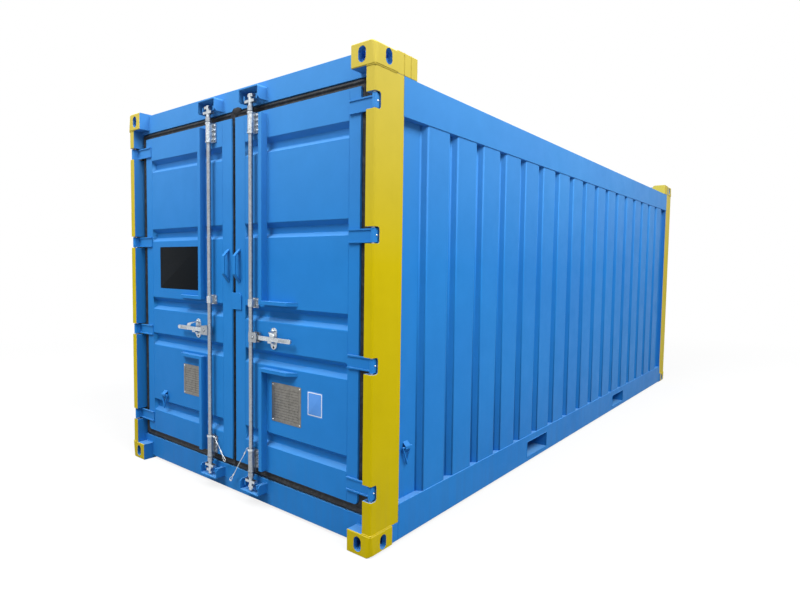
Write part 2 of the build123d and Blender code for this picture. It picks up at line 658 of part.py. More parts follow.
# Overlap plate on the right leaf, over the joint between the doors
with BuildPart() as overlap_plate:
    with BuildSketch(door_plane(LEAF_FACE_DEPTH - BRACKET_PLATE)):
        with Locations((OVERLAP_PLATE_REACH - OVERLAP_PLATE_WIDTH / 2,
                        OVERLAP_PLATE_LOW + OVERLAP_PLATE_HEIGHT / 2)):
            Rectangle(OVERLAP_PLATE_WIDTH, OVERLAP_PLATE_HEIGHT)
    extrude(amount=BRACKET_PLATE)
    upper = overlap_plate.edges().filter_by(Axis.X).group_by(Axis.Z)[-1].sort_by(Axis.Y)
    chamfer(upper[0], OVERLAP_PLATE_CORNER)
save(overlap_plate, "overlap_plate")

# Hinges: a ribbed blade on the leaf and an arm that carries the knuckle
with BuildPart() as hinges:
    for height in HINGE_HEIGHTS:
        bottom = height - HINGE_HEIGHT / 2
        with BuildSketch(Plane.XY.offset(bottom)):
            with Locations((at_depth(PIN_DEPTH), -PIN_Y)):
                Circle(KNUCKLE_RADIUS)
            arm_length = LEAF_FACE_DEPTH - PIN_DEPTH
            with Locations((at_depth(PIN_DEPTH + arm_length / 2), -PIN_Y + (ARM_INNER - ARM_OUTER) / 2)):
                Rectangle(arm_length, ARM_INNER + ARM_OUTER)
            with Locations((at_depth(LEAF_FACE_DEPTH - BLADE_THICKNESS / 2), -PIN_Y + BLADE_LENGTH / 2)):
                Rectangle(BLADE_THICKNESS, BLADE_LENGTH)
            with Locations((at_depth(PIN_DEPTH), -PIN_Y)):
                Circle(PIN_RADIUS + PIN_CLEARANCE, mode=Mode.SUBTRACT)
        extrude(amount=HINGE_HEIGHT)
        rib_face = LEAF_FACE_DEPTH - BLADE_THICKNESS - RIB_HEIGHT / 2
        rib_length = BLADE_LENGTH - ARM_INNER
        for rib_z in (bottom + RIB_WIDTH / 2, bottom + HINGE_HEIGHT - RIB_WIDTH / 2):
            with Locations((at_depth(rib_face), -PIN_Y + ARM_INNER + rib_length / 2, rib_z)):
                Box(RIB_HEIGHT, rib_length, RIB_WIDTH)
save_pair(hinges, "hinges")

# Hinge pins, each with the two lugs that hold it inside the post
with BuildPart() as hinge_pins:
    lug_front = FITTING_PROUD + POST_WALL
    lug_length = 2 * (PIN_DEPTH - lug_front) + LUG_TAIL
    lug_width = POST_WIDTH - 2 * POST_WALL
    half_notch = HINGE_HEIGHT / 2 + HINGE_GAP
    for height in HINGE_HEIGHTS:
        for lug_z in (height - half_notch - LUG_THICKNESS / 2, height + half_notch + LUG_THICKNESS / 2):
            with Locations((at_depth(lug_front + lug_length / 2), FRAME_SIDE - POST_WIDTH / 2, lug_z)):
                Box(lug_length, lug_width, LUG_THICKNESS)
        with Locations((at_depth(PIN_DEPTH), PIN_Y, height)):
            Cylinder(PIN_RADIUS, 2 * (half_notch + LUG_THICKNESS))
    mirror(about=Plane.XZ)
save(hinge_pins, "hinge_pins")

# Rod brackets: sleeves on blocks and base plates
with BuildPart() as brackets:
    for sleeve, plate in ((UPPER_SLEEVE, UPPER_BRACKET), (MIDDLE_SLEEVE, MIDDLE_BRACKET),
                          (LOWER_SLEEVE, LOWER_BRACKET)):
        with BuildSketch(Plane.XY.offset(plate[0])):
            with Locations((at_depth(LEAF_FACE_DEPTH - BRACKET_PLATE / 2), -ROD_OFFSET)):
                Rectangle(BRACKET_PLATE, BRACKET_WIDTH)
        extrude(amount=plate[1] - plate[0])
        with BuildSketch(Plane.XY.offset(sleeve[0])):
            with Locations((at_depth(ROD_DEPTH), -ROD_OFFSET)):
                Circle(SLEEVE_RADIUS)
            block = LEAF_FACE_DEPTH - BRACKET_PLATE - ROD_DEPTH
            with Locations((at_depth(ROD_DEPTH + block / 2), -ROD_OFFSET)):
                Rectangle(block, 2 * SLEEVE_RADIUS)
            with Locations((at_depth(ROD_DEPTH), -ROD_OFFSET)):
                Circle(ROD_RADIUS + SLEEVE_CLEARANCE, mode=Mode.SUBTRACT)
        extrude(amount=sleeve[1] - sleeve[0])
    for ring_low in (UPPER_SLEEVE[0], UPPER_SLEEVE[1] - RING_HEIGHT,
                     LOWER_SLEEVE[0], LOWER_SLEEVE[1] - RING_HEIGHT):
        with BuildSketch(Plane.XY.offset(ring_low)):
            with Locations((at_depth(ROD_DEPTH), -ROD_OFFSET)):
                Circle(RING_RADIUS)
                Circle(ROD_RADIUS + SLEEVE_CLEARANCE, mode=Mode.SUBTRACT)
        extrude(amount=RING_HEIGHT)
    with Locations((at_depth(ROD_DEPTH), -ROD_OFFSET + RING_RADIUS + TAB_LENGTH / 2 - TAB_ROOT,
                    LOWER_SLEEVE[1] - RING_HEIGHT / 2)):
        Box(TAB_WIDTH, TAB_LENGTH, RING_HEIGHT)
save_pair(brackets, "rod_brackets")

# Locking rod with its collars, cams and the fork that carries the handle
with BuildPart() as rod:
    with BuildSketch(Plane.XY.offset(ROD_LOW)):
        with Locations((at_depth(ROD_DEPTH), -ROD_OFFSET)):
            Circle(ROD_RADIUS)
    extrude(amount=ROD_HIGH - ROD_LOW)
    for collar_low in (UPPER_SLEEVE[1] + COLLAR_GAP, LOWER_SLEEVE[0] - COLLAR_GAP - COLLAR_HEIGHT):
        with Locations((at_depth(ROD_DEPTH), -ROD_OFFSET, collar_low + COLLAR_HEIGHT / 2)):
            Cylinder(COLLAR_RADIUS, COLLAR_HEIGHT)
    # Each cam has a wide wing towards the rod's middle and a short wing at its end
    for near, far in ((UPPER_CAM[0], UPPER_CAM[1]), (LOWER_CAM[1], LOWER_CAM[0])):
        step = (far - near) / 3
        for start, reach, shift in ((near, CAM_REACH, 0), (near + 2 * step, CAM_TIP_REACH, CAM_TIP_SHIFT)):
            with BuildSketch(Plane.XY.offset(start)):
                with Locations((at_depth(ROD_DEPTH), -ROD_OFFSET - shift)):
                    Rectangle(CAM_THICKNESS, 2 * reach)
            extrude(amount=step)
    hub_middle = ROD_OFFSET + HUB_LENGTH / 2
    with Locations((at_depth(HUB_FACE_DEPTH + HUB_DEPTH / 2), -hub_middle, HANDLE_HEIGHT)):
        Box(HUB_DEPTH, HUB_LENGTH, HUB_HEIGHT)
    hub_corners = rod.edges(Select.LAST).filter_by(Axis.X).group_by(Axis.Y)[0]
    fillet(hub_corners, HUB_CORNER)
    slot_start = ROD_OFFSET + ROD_RADIUS + HUB_ROOT
    slot_length = ROD_OFFSET + HUB_LENGTH - slot_start
    with Locations((at_depth(HUB_FACE_DEPTH + HUB_CHEEK + HUB_SLOT / 2), -slot_start - slot_length / 2,
                    HANDLE_HEIGHT)):
        Box(HUB_SLOT, slot_length, HUB_HEIGHT, mode=Mode.SUBTRACT)
    with BuildSketch(door_plane(HUB_FACE_DEPTH)):
        with Locations((-LEVER_PIVOT, HANDLE_HEIGHT)):
            Circle(RIVET_RADIUS)
    extrude(amount=HUB_DEPTH)
save_pair(rod, "locking_rod")

# Handle: a flat lever that tilts on the rivet in the rod's fork
with BuildPart() as handle:
    with BuildSketch(door_plane(LEVER_FACE_DEPTH)):
        lever_length = LEVER_TIP - LEVER_PIVOT
        with Locations((-(LEVER_PIVOT + LEVER_TIP) / 2, HANDLE_HEIGHT)):
            SlotOverall(lever_length + LEVER_HEIGHT, LEVER_HEIGHT)
        with Locations((-LEVER_PIVOT, HANDLE_HEIGHT)):
            Circle(RIVET_RADIUS + PIN_CLEARANCE, mode=Mode.SUBTRACT)
    extrude(amount=LEVER_THICKNESS)
save_pair(handle, "handle")

# Retainer: an oval plate with a shelf under the lever and a pin for the catch
shelf_top = HANDLE_HEIGHT - LEVER_HEIGHT / 2 - SEAT_GAP
with BuildPart() as retainer:
    with BuildSketch(door_plane(LEAF_FACE_DEPTH - RETAINER_PLATE)):
        with Locations((-RETAINER_OFFSET, HANDLE_HEIGHT)):
            SlotOverall(RETAINER_HEIGHT, RETAINER_WIDTH, rotation=90)
    extrude(amount=RETAINER_PLATE)
    shelf_reach = LEAF_FACE_DEPTH - LEVER_FACE_DEPTH
    with Locations((at_depth(LEVER_FACE_DEPTH + shelf_reach / 2), -RETAINER_OFFSET,
                    shelf_top - SHELF_HEIGHT / 2)):
        Box(shelf_reach, SHELF_WIDTH, SHELF_HEIGHT)
    with BuildSketch(door_plane(CATCH_FACE_DEPTH)):
        with Locations((-RETAINER_OFFSET, HANDLE_HEIGHT + CATCH_RISE)):
            Circle(CATCH_PIN_RADIUS)
    extrude(amount=LEAF_FACE_DEPTH - CATCH_FACE_DEPTH)
    with BuildSketch(door_plane(LEAF_FACE_DEPTH - RETAINER_PLATE)):
        with Locations((-RETAINER_OFFSET, HANDLE_HEIGHT - CATCH_RISE)):
            Circle(RETAINER_HOLE_RADIUS)
    extrude(amount=RETAINER_PLATE, mode=Mode.SUBTRACT)
save_pair(retainer, "handle_retainer")


def catch_at(side):
    """The catch on a retainer: a boss round its pin, and a tapered strap, the same on both doors."""
    slant = radians(CATCH_ANGLE)
    front = Plane(origin=(at_depth(CATCH_FACE_DEPTH), side * RETAINER_OFFSET, HANDLE_HEIGHT + CATCH_RISE),
                  x_dir=(0, sin(slant), -cos(slant)), z_dir=(1, 0, 0))
    with BuildPart() as strap:
        with BuildSketch(front):
            Circle(CATCH_BOSS_RADIUS)
        extrude(amount=LEAF_FACE_DEPTH - RETAINER_PLATE - SEAT_GAP - CATCH_FACE_DEPTH)
        with BuildSketch(front):
            with BuildLine():
                Polyline((0, CATCH_BOSS_RADIUS), (CATCH_LENGTH, CATCH_NOSE), (CATCH_LENGTH, -CATCH_NOSE),
                         (0, -CATCH_BOSS_RADIUS), close=True)
            make_face()
        extrude(amount=CATCH_THICKNESS)
        with BuildSketch(front):
            Circle(CATCH_PIN_RADIUS + PIN_CLEARANCE)
        extrude(amount=LEAF_FACE_DEPTH - CATCH_FACE_DEPTH, mode=Mode.SUBTRACT)
    return strap


right_catch = catch_at(-1)
save(right_catch, "right_catch")

left_catch = catch_at(1)
save(left_catch, "left_catch")

# Cam keepers: bent plates on the header and sill, open to the front and towards the door
# The third value is 1 where the plate's web is on top and -1 where it is below
keeper_spans = ((*UPPER_KEEPER, 1), (*LOWER_KEEPER, -1))
with BuildPart() as cam_keepers:
    keeper_front = BEAM_FACE_DEPTH - KEEPER_REACH
    for low, high, side in keeper_spans:
        with BuildSketch(door_plane(keeper_front)) as bent_plate:
            with Locations((ROD_OFFSET, (low + high) / 2)):
                Rectangle(2 * KEEPER_HALF_WIDTH, high - low)
            fillet(bent_plate.vertices().group_by(Axis.Y)[-1 if side == 1 else 0], KEEPER_BEND)
            with Locations((ROD_OFFSET, (low + high) / 2 - side * KEEPER_PLATE)):
                Rectangle(2 * (KEEPER_HALF_WIDTH - KEEPER_PLATE), high - low, mode=Mode.SUBTRACT)
        extrude(amount=KEEPER_REACH)
        free = cam_keepers.edges(Select.LAST).filter_by(Axis.Y).group_by(Axis.X)[0]
        chamfer(free.group_by(Axis.Z)[0 if side == 1 else -1], KEEPER_BEVEL)
    mirror(about=Plane.XZ)
save(cam_keepers, "cam_keepers")

# Keeper lugs: a block at each side of a cam, on the header and sill
with BuildPart() as keeper_lugs:
    lug_deep, lug_wide, lug_high = KEEPER_LUG
    for low, high, side in keeper_spans:
        lug_z = (low if side == 1 else high) + side * (lug_high / 2 + KEEPER_PLATE)
        for hand in (-1, 1):
            lug_y = ROD_OFFSET + hand * (CAM_REACH + KEEPER_LUG_GAP + lug_wide / 2)
            with Locations((at_depth(BEAM_FACE_DEPTH - lug_deep / 2), lug_y, lug_z)):
                Box(lug_deep, lug_wide, lug_high)
    mirror(about=Plane.XZ)
save(keeper_lugs, "keeper_lugs")

# Guard bars beside the rods, each with a ledge towards the handle
with BuildPart() as guard_bars:
    bar_face = LEAF_FACE_DEPTH - GUARD_BAR_PROUD
    for span, ledge_low in ((UPPER_BAR, UPPER_BAR[0]), (LOWER_BAR, LOWER_BAR[1] - LEDGE_THICKNESS)):
        with Locations((at_depth(bar_face + GUARD_BAR_PROUD / 2), -GUARD_BAR_INNER - GUARD_BAR_WIDTH / 2,
                        (span[0] + span[1]) / 2)):
            Box(GUARD_BAR_PROUD, GUARD_BAR_WIDTH, span[1] - span[0])
        with BuildSketch(Plane.XY.offset(ledge_low)):
            with BuildLine():
                Polyline((at_depth(bar_face), -GUARD_BAR_INNER),
                         (at_depth(bar_face), -LEDGE_FRONT_REACH),
                         (at_depth(LEAF_FACE_DEPTH), -LEDGE_BACK_REACH),
                         (at_depth(LEAF_FACE_DEPTH), -GUARD_BAR_INNER), close=True)
            make_face()
        extrude(amount=LEDGE_THICKNESS)
save_pair(guard_bars, "guard_bars")


def bar_shift(run, rise, thickness):
    """How far the inner face of a sloping flat bar lies along at its foot and at its fold."""
    slope = hypot(run, rise)
    return thickness * slope / rise, thickness * (slope - run) / rise


# Pull handle: a flat bar bent out from the inner stile
with BuildPart() as pull_handle:
    pull_plane = Plane(origin=(at_depth(LEAF_FACE_DEPTH), -PULL_INNER, 0),
                       x_dir=(0, 0, 1), z_dir=(0, -1, 0))
    with BuildSketch(pull_plane):
        with BuildLine():
            outer = Polyline((PULL_LOW, 0), (PULL_LOW + PULL_LOW_SLOPE, PULL_PROUD),
                             (PULL_HIGH - PULL_HIGH_SLOPE, PULL_PROUD), (PULL_HIGH, 0))
            low_foot, low_fold = bar_shift(PULL_LOW_SLOPE, PULL_PROUD, PULL_THICKNESS)
            high_foot, high_fold = bar_shift(PULL_HIGH_SLOPE, PULL_PROUD, PULL_THICKNESS)
            inner = Polyline((PULL_LOW + low_foot, 0),
                             (PULL_LOW + PULL_LOW_SLOPE + low_fold, PULL_PROUD - PULL_THICKNESS),
                             (PULL_HIGH - PULL_HIGH_SLOPE - high_fold, PULL_PROUD - PULL_THICKNESS),
                             (PULL_HIGH - high_foot, 0))
            Line(outer @ 0, inner @ 0)
            Line(outer @ 1, inner @ 1)
        make_face()
    extrude(amount=PULL_WIDTH)
save_pair(pull_handle, "pull_handle")


def tag_saddle(wall):
    """A bent strap on a wall plane, over the top bar of a tag ring.

    The plane's origin is the middle of the ring's top bar, projected on the wall, its local x is
    along the bar, and its normal points out of the wall.
    """
    profile = Plane(origin=wall.origin - wall.x_dir * SADDLE_WIDTH / 2, x_dir=wall.y_dir, z_dir=wall.x_dir)
    top = RING_STANDOFF + RING_BAR_RADIUS + SADDLE_GAP
    half = RING_BAR_RADIUS + SADDLE_GAP
    foot, fold = bar_shift(SADDLE_SPREAD - half, top, SADDLE_THICKNESS)
    with BuildPart() as saddle:
        with BuildSketch(profile):
            with BuildLine():
                Polyline((-SADDLE_SPREAD - foot, 0), (-half - fold, top + SADDLE_THICKNESS),
                         (half + fold, top + SADDLE_THICKNESS), (SADDLE_SPREAD + foot, 0),
                         (SADDLE_SPREAD, 0), (half, top), (-half, top), (-SADDLE_SPREAD, 0), close=True)
            make_face()
        extrude(amount=SADDLE_WIDTH)
    return saddle


def tag_ring(wall):
    """A three-cornered ring of round bar that hangs from its top bar."""
    bar = Plane(origin=wall.origin + wall.z_dir * RING_STANDOFF, x_dir=wall.x_dir, z_dir=wall.z_dir)
    with BuildPart() as ring:
        with BuildLine(bar) as path:
            Polyline((0, 0), (RING_HALF_WIDTH, 0), (0, -RING_DROP), (-RING_HALF_WIDTH, 0), close=True)
        with BuildSketch(Plane(origin=bar.origin, x_dir=bar.z_dir, z_dir=bar.x_dir)):
            Circle(RING_BAR_RADIUS)
        sweep(path=path.wire(), transition=Transition.RIGHT)
    return ring


# Rings for tag lines, on the side's end bay and on the left door, each in its saddle
bay_face = side_face - WALL_PRESS[2]
side_ring_place = (SIDE_RING_INSET - BAY_END, -bay_face, BOTTOM_RAIL_TOP + SIDE_RING_RISE)
side_ring_wall = Plane(origin=side_ring_place, x_dir=(1, 0, 0), z_dir=(0, -1, 0))
side_saddle = tag_saddle(side_ring_wall)
save(side_saddle, "side_tag_saddle")

side_ring = tag_ring(side_ring_wall)
save(side_ring, "side_tag_ring")

door_ring_place = (at_depth(LEAF_FACE_DEPTH), LEAF_OUTER - DOOR_RING_INSET, LOW_GROOVE + DOOR_RING_RISE)
door_ring_wall = Plane(origin=door_ring_place, x_dir=(0, -1, 0), z_dir=(-1, 0, 0))
door_saddle = tag_saddle(door_ring_wall)
save(door_saddle, "door_tag_saddle")

door_ring = tag_ring(door_ring_wall)
save(door_ring, "door_tag_ring")


def rope(points):
    """A wire rope along points, with an arc at each turn as large as its runs allow."""
    corners = [Vector(*point) for point in points]
    radii = []
    for before, here, after in zip(corners, corners[1:], corners[2:]):
        shorter = min((here - before).length, (after - here).length)
        turn = radians((here - before).get_angle(after - here))
        radii.append(ARC_RATIO * shorter / tan(turn / 2))
    print("rope radii", [round(radius) for radius in radii])
    with BuildPart() as cord:
        with BuildLine() as path:
            FilletPolyline(*corners, radius=radii)
        with BuildSketch(Plane(origin=path.wire() @ 0, z_dir=path.wire() % 0)):
            RegularPolygon(LANYARD_RADIUS, LANYARD_SIDES)
        sweep(path=path.wire())
    return cord


def rope_eye(end, tip):
    """The ferrule and the pressed teardrop loop between the end of a rope and its tip."""
    run = Vector(*tip) - Vector(*end)
    flat = Plane(origin=Vector(*end), x_dir=run, z_dir=Vector(1, 0, 0).cross(run).cross(run))
    with BuildPart() as eye:
        with BuildSketch(Plane(origin=flat.origin, z_dir=flat.x_dir)):
            Circle(FERRULE_RADIUS)
        extrude(amount=FERRULE_LENGTH)
        with BuildSketch(flat.offset(-LANYARD_RADIUS)):
            with BuildLine():
                neck = FERRULE_LENGTH / 2
                upper = Line((neck, FERRULE_RADIUS), (run.length - EYE_RADIUS, EYE_RADIUS))
                lower = Line((neck, -FERRULE_RADIUS), (run.length - EYE_RADIUS, -EYE_RADIUS))
                ThreePointArc(upper @ 1, (run.length, 0), lower @ 1)
                Line(lower @ 0, upper @ 0)
            make_face()
            offset(amount=-2 * LANYARD_RADIUS, mode=Mode.SUBTRACT)
        extrude(amount=2 * LANYARD_RADIUS)
    return eye


# Lanyards: stiff wire ropes that hang askew from the lower sleeves, each with an eye
tab_face = -ROD_OFFSET + RING_RADIUS + TAB_LENGTH - TAB_ROOT
tab_z = LOWER_SLEEVE[1] - RING_HEIGHT / 2
right_route = [(at_depth(25), tab_face, tab_z), (at_depth(25), -171, 354), (at_depth(28), -155, 333),
               (at_depth(30), -137, 312), (at_depth(33), -118, 290), (at_depth(37), -84, 250),
               (at_depth(41), -50, 208), (at_depth(44), -20, 166), (at_depth(45), 2, 134)]
right_tip = (at_depth(46), 33, 88)
right_lanyard = rope(right_route)
save(right_lanyard, "right_lanyard")
right_eye = rope_eye(right_route[-1], right_tip)
save(right_eye, "right_lanyard_eye")

left_route = [(at_depth(25), -tab_face, tab_z), (at_depth(25), 171, 354), (at_depth(28), 161, 331),
              (at_depth(32), 146, 307), (at_depth(36), 130, 281), (at_depth(39), 113, 254)]
left_tip = (at_depth(41), 78, 203)
left_lanyard = rope(left_route)
save(left_lanyard, "left_lanyard")
left_eye = rope_eye(left_route[-1], left_tip)
save(left_eye, "left_lanyard_eye")
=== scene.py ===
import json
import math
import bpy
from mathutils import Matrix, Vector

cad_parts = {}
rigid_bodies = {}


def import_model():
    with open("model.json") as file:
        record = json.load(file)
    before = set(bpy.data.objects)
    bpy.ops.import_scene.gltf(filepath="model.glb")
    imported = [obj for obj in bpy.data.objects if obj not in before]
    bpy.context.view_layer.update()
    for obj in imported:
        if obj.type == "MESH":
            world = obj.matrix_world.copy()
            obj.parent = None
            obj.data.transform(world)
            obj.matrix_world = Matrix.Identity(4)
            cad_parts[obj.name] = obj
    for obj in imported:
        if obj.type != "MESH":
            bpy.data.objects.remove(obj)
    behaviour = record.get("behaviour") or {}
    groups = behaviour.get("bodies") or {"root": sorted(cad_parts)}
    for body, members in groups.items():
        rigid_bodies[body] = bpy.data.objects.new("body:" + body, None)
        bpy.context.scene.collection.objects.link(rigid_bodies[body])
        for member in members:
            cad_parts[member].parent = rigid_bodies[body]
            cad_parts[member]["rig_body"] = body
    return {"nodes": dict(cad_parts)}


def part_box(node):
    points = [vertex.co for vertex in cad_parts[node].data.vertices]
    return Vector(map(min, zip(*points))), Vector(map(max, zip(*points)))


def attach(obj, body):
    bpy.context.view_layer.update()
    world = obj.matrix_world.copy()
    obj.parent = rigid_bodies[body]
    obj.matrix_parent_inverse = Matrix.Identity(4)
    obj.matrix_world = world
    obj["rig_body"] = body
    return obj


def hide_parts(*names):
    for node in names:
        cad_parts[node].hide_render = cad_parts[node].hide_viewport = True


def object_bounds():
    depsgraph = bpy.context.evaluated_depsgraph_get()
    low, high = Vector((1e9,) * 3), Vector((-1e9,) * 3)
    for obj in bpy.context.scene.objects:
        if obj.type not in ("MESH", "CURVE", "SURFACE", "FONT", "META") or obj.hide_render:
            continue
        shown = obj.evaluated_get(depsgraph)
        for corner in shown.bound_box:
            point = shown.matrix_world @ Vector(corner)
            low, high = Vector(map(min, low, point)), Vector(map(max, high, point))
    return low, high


bl_info = {
    "name": "Shipping container",
    "version": (2, 0, 0),
    "blender": (4, 5, 0),
    "location": "View3D > Sidebar > Container",
    "description": "Dresses the packed model of a twenty-foot container with enamel, zinc, rubber and small parts",
    "category": "Object",
}

import bmesh
import bpy
import numpy as np
from bpy.props import FloatProperty, FloatVectorProperty, PointerProperty
from mathutils import Matrix, Vector

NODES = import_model()["nodes"]
PACKED_BOX = [[float(v) for v in corner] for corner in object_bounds()]
HALF_LENGTH, HALF_WIDTH, HEIGHT = PACKED_BOX[1]
SIDES = (("right", -1, "right_door"), ("left", 1, "left_door"))
CORNERS = tuple((end, sign) for end in (-1, 1) for sign in (-1, 1))
ORIGIN, OUTWARD = (0.0, 0.0, 0.0), (-1.0, 0.0, 0.0)
LENGTHWISE, SIDEWAYS, UPRIGHT = (1.0, 0.0, 0.0), (0.0, 1.0, 0.0), (0.0, 0.0, 1.0)

# The finishes, and the name of the part's material slot that each of them goes with
BLUE, YELLOW = "blue_polyurethane_enamel_sprayed", "yellow_polyurethane_enamel_sprayed"
ZINC, FORGED = "galvanised_steel_hot_dipped", "galvanised_steel_forged_dipped"
ROPE, NIPPLE = "galvanised_wire_rope_laid", "zinc_plated_steel_turned"
RUBBER, STEEL_PLATE, WOOD = "epdm_rubber_extruded", "stainless_plate_brushed_etched", "hardwood_plywood_sealed"
BLACK_FILM, WHITE_FILM, BLUE_FILM = "black_vinyl_film_cut", "white_vinyl_film_cut", "blue_vinyl_film_cut"
SLOTS = {BLUE: "blue_paint", YELLOW: "yellow_paint", ROPE: "wire_rope", RUBBER: "gasket_rubber",
         **dict.fromkeys((ZINC, FORGED, NIPPLE, STEEL_PLATE), "galvanised_steel")}
MATERIALS = {}

# Sizes below are in millimetres: depth is counted from the outer face of the door end's fittings,
# across from the middle of the container, and up from the ground
LEAF_DEPTH = 58
# A leaf and its seal, each from its inner to its outer edge and from its foot to its top
LEAF = (20, 1074, 230, 2403)
SEAL = (4, 1150, 176, 2446)
# The middles of the leaves' grooves, and how far their mouths reach up and down from there
GROOVES = (434, 932, 1196, 1697, 2199)
GROOVE_REACH = 49
# A post's inner and outer face
POST = (1156, 1214)
BAY_END = 2794
ROD, ROD_DEPTH = 218, 25
HINGES = (335, 991.67, 1648.33, 2305)
BRACKET_BOLTS = (2292, 2321, 2351, 2380, 1246, 1274, 252, 279, 307, 334)
KEEPERS = ((2462, 2543), (81, 150))
PLATE_NOTCH = (1198, 1324)
LEVER_UP, HUB_RIVET, RETAINER = 1055, 257, 397
LEDGES = (872, 1276)

NOISE, RANGE, MIX, BUMP, MATH = ("ShaderNodeTexNoise", "ShaderNodeMapRange", "ShaderNodeMix", "ShaderNodeBump",
                                 "ShaderNodeMath")
SPLIT, SHIFT = "ShaderNodeSeparateXYZ", "ShaderNodeMapping"
# A Mix node that is set for colours has its factor and colours at inputs 0, 6 and 7 and its result at output 2.
# A Map Range node's first five inputs are its value, from low, from high, to low and to high.
COLOURS = {"out": 2, "data_type": "RGBA"}


def linear(code):
    """Linear colour of an sRGB hex code: c / 12.92 below 0.04045, else ((c + 0.055) / 1.055) ** 2.4."""
    channels = [int(code[i:i + 2], 16) / 255 for i in (0, 2, 4)]
    return tuple(c / 12.92 if c <= 0.04045 else ((c + 0.055) / 1.055) ** 2.4 for c in channels) + (1.0,)


def add(tree, kind, inputs=(), out=0, **settings):
    """Add a node with its settings and its inputs, as values or as sockets that feed them, and give an output.

    Inputs come by name or number, or else in the node's own order.
    """
    node = tree.nodes.new(kind)
    for name, value in settings.items():
        setattr(node, name, value)
    for name, value in inputs.items() if isinstance(inputs, dict) else enumerate(inputs):
        if isinstance(value, bpy.types.NodeSocket):
            tree.links.new(value, node.inputs[name])
        else:
            node.inputs[name].default_value = value
    return node if out is None else node.outputs[out]


def empty_tree(owner):
    """The node tree of a material or of the world, with its first nodes taken out."""
    owner.use_nodes = True
    owner.node_tree.nodes.clear()
    return owner.node_tree


def finish(name, recipe, *colours):
    """A material whose recipe gets its tree, the object coordinates and its colours, and gives the shader's inputs."""
    MATERIALS[name] = bpy.data.materials.new(name)
    tree = empty_tree(MATERIALS[name])
    place = add(tree, "ShaderNodeTexCoord", out="Object")
    shader = add(tree, "ShaderNodeBsdfPrincipled", recipe(tree, place, *colours))
    add(tree, "ShaderNodeOutputMaterial", {"Surface": shader}, out=None)


def sprayed_enamel(tree, place, colour, sunned, painted_top_light):
    """Inputs of two-pack polyurethane enamel, sprayed on blasted steel.

    It gives the eye an even satin colour with soft wide highlights, fine orange peel, the sheet's shallow
    waves, a little road film near the ground, and painted light: a paler colour in patches on faces that
    look up, and a paler colour towards the top, as if more light fell there.
    """
    look = bpy.context.scene.container_paint
    # Patches of slightly different film thickness, about 1.1 m and 140 mm across
    slow = add(tree, NOISE, {"Vector": place, "Scale": 0.9, "Detail": 2.0})
    cloud = add(tree, NOISE, {"Vector": place, "Scale": 7.0, "Detail": 4.0, "Roughness": 0.6})
    # Orange peel is 2 to 3 mm wide on the real coat, and is drawn 7 mm wide because finer can't show
    peel = add(tree, NOISE, {"Vector": place, "Scale": 140.0, "Detail": 2.0})
    # Welding leaves waves about 200 mm long in the sheet
    wave = add(tree, NOISE, {"Vector": place, "Scale": 5.0, "Detail": 1.0})
    # Rain draws streaks about 45 mm wide and 1 m long
    streak = add(tree, NOISE, {"Vector": add(tree, SHIFT, {"Vector": place, "Scale": (22.0, 22.0, 1.0)}),
                               "Scale": 1.0, "Detail": 3.0, "Roughness": 0.6})
    height = add(tree, SPLIT, {"Vector": place}, out="Z")
    facing = add(tree, SPLIT, {"Vector": add(tree, "ShaderNodeNewGeometry", out="Normal")}, out="Z")
    patch = add(tree, RANGE, (slow, 0.35, 0.7, 0.0, 0.35))
    tone = add(tree, MIX, {0: patch, 6: (*colour, 1.0), 7: linear(sunned)}, **COLOURS)
    # Painted light: the colour turns paler from 1.5 m up to 2.6 m, so that the top looks more lit
    wear_and_top_light = add(tree, RANGE, (height, 1.5, 2.6, 0.0, look.painted_top_light))
    tone = add(tree, MIX, {0: wear_and_top_light, 6: tone, 7: linear(painted_top_light)}, **COLOURS)
    dull = add(tree, RANGE, (cloud, 0.3, 0.75, 1.0, 0.94))
    tone = add(tree, MIX, {0: 1.0, 6: tone, 7: dull}, **COLOURS, blend_type="MULTIPLY")
    low = add(tree, RANGE, (height, 0.0, 0.6, look.grime, 0.0))
    film = add(tree, MATH, (low, add(tree, RANGE, (streak, 0.4, 0.7))), operation="MULTIPLY")
    tone = add(tree, MIX, {0: film, 6: tone, 7: linear("4c5459")}, **COLOURS)
    # Painted light: faces that look up turn paler in patches, so that they look lit from above
    lying = add(tree, RANGE, (facing, 0.6, 0.98, 0.0, look.painted_upward_light))
    painted_upward_light = add(tree, MATH, (lying, add(tree, RANGE, (cloud, 0.25, 0.7, 0.6))), operation="MULTIPLY")
    tone = add(tree, MIX, {0: painted_upward_light, 6: tone, 7: linear(painted_top_light)}, **COLOURS)
    normal = add(tree, BUMP, {"Height": wave, "Strength": 0.5, "Distance": look.wave})
    normal = add(tree, BUMP, {"Height": peel, "Strength": 0.5, "Distance": look.peel, "Normal": normal})
    rough = add(tree, RANGE, (cloud, 0.25, 0.8, look.gloss - 0.04, look.gloss + 0.08))
    return {"Base Color": tone, "Roughness": rough, "Normal": normal, "Specular IOR Level": 0.05}


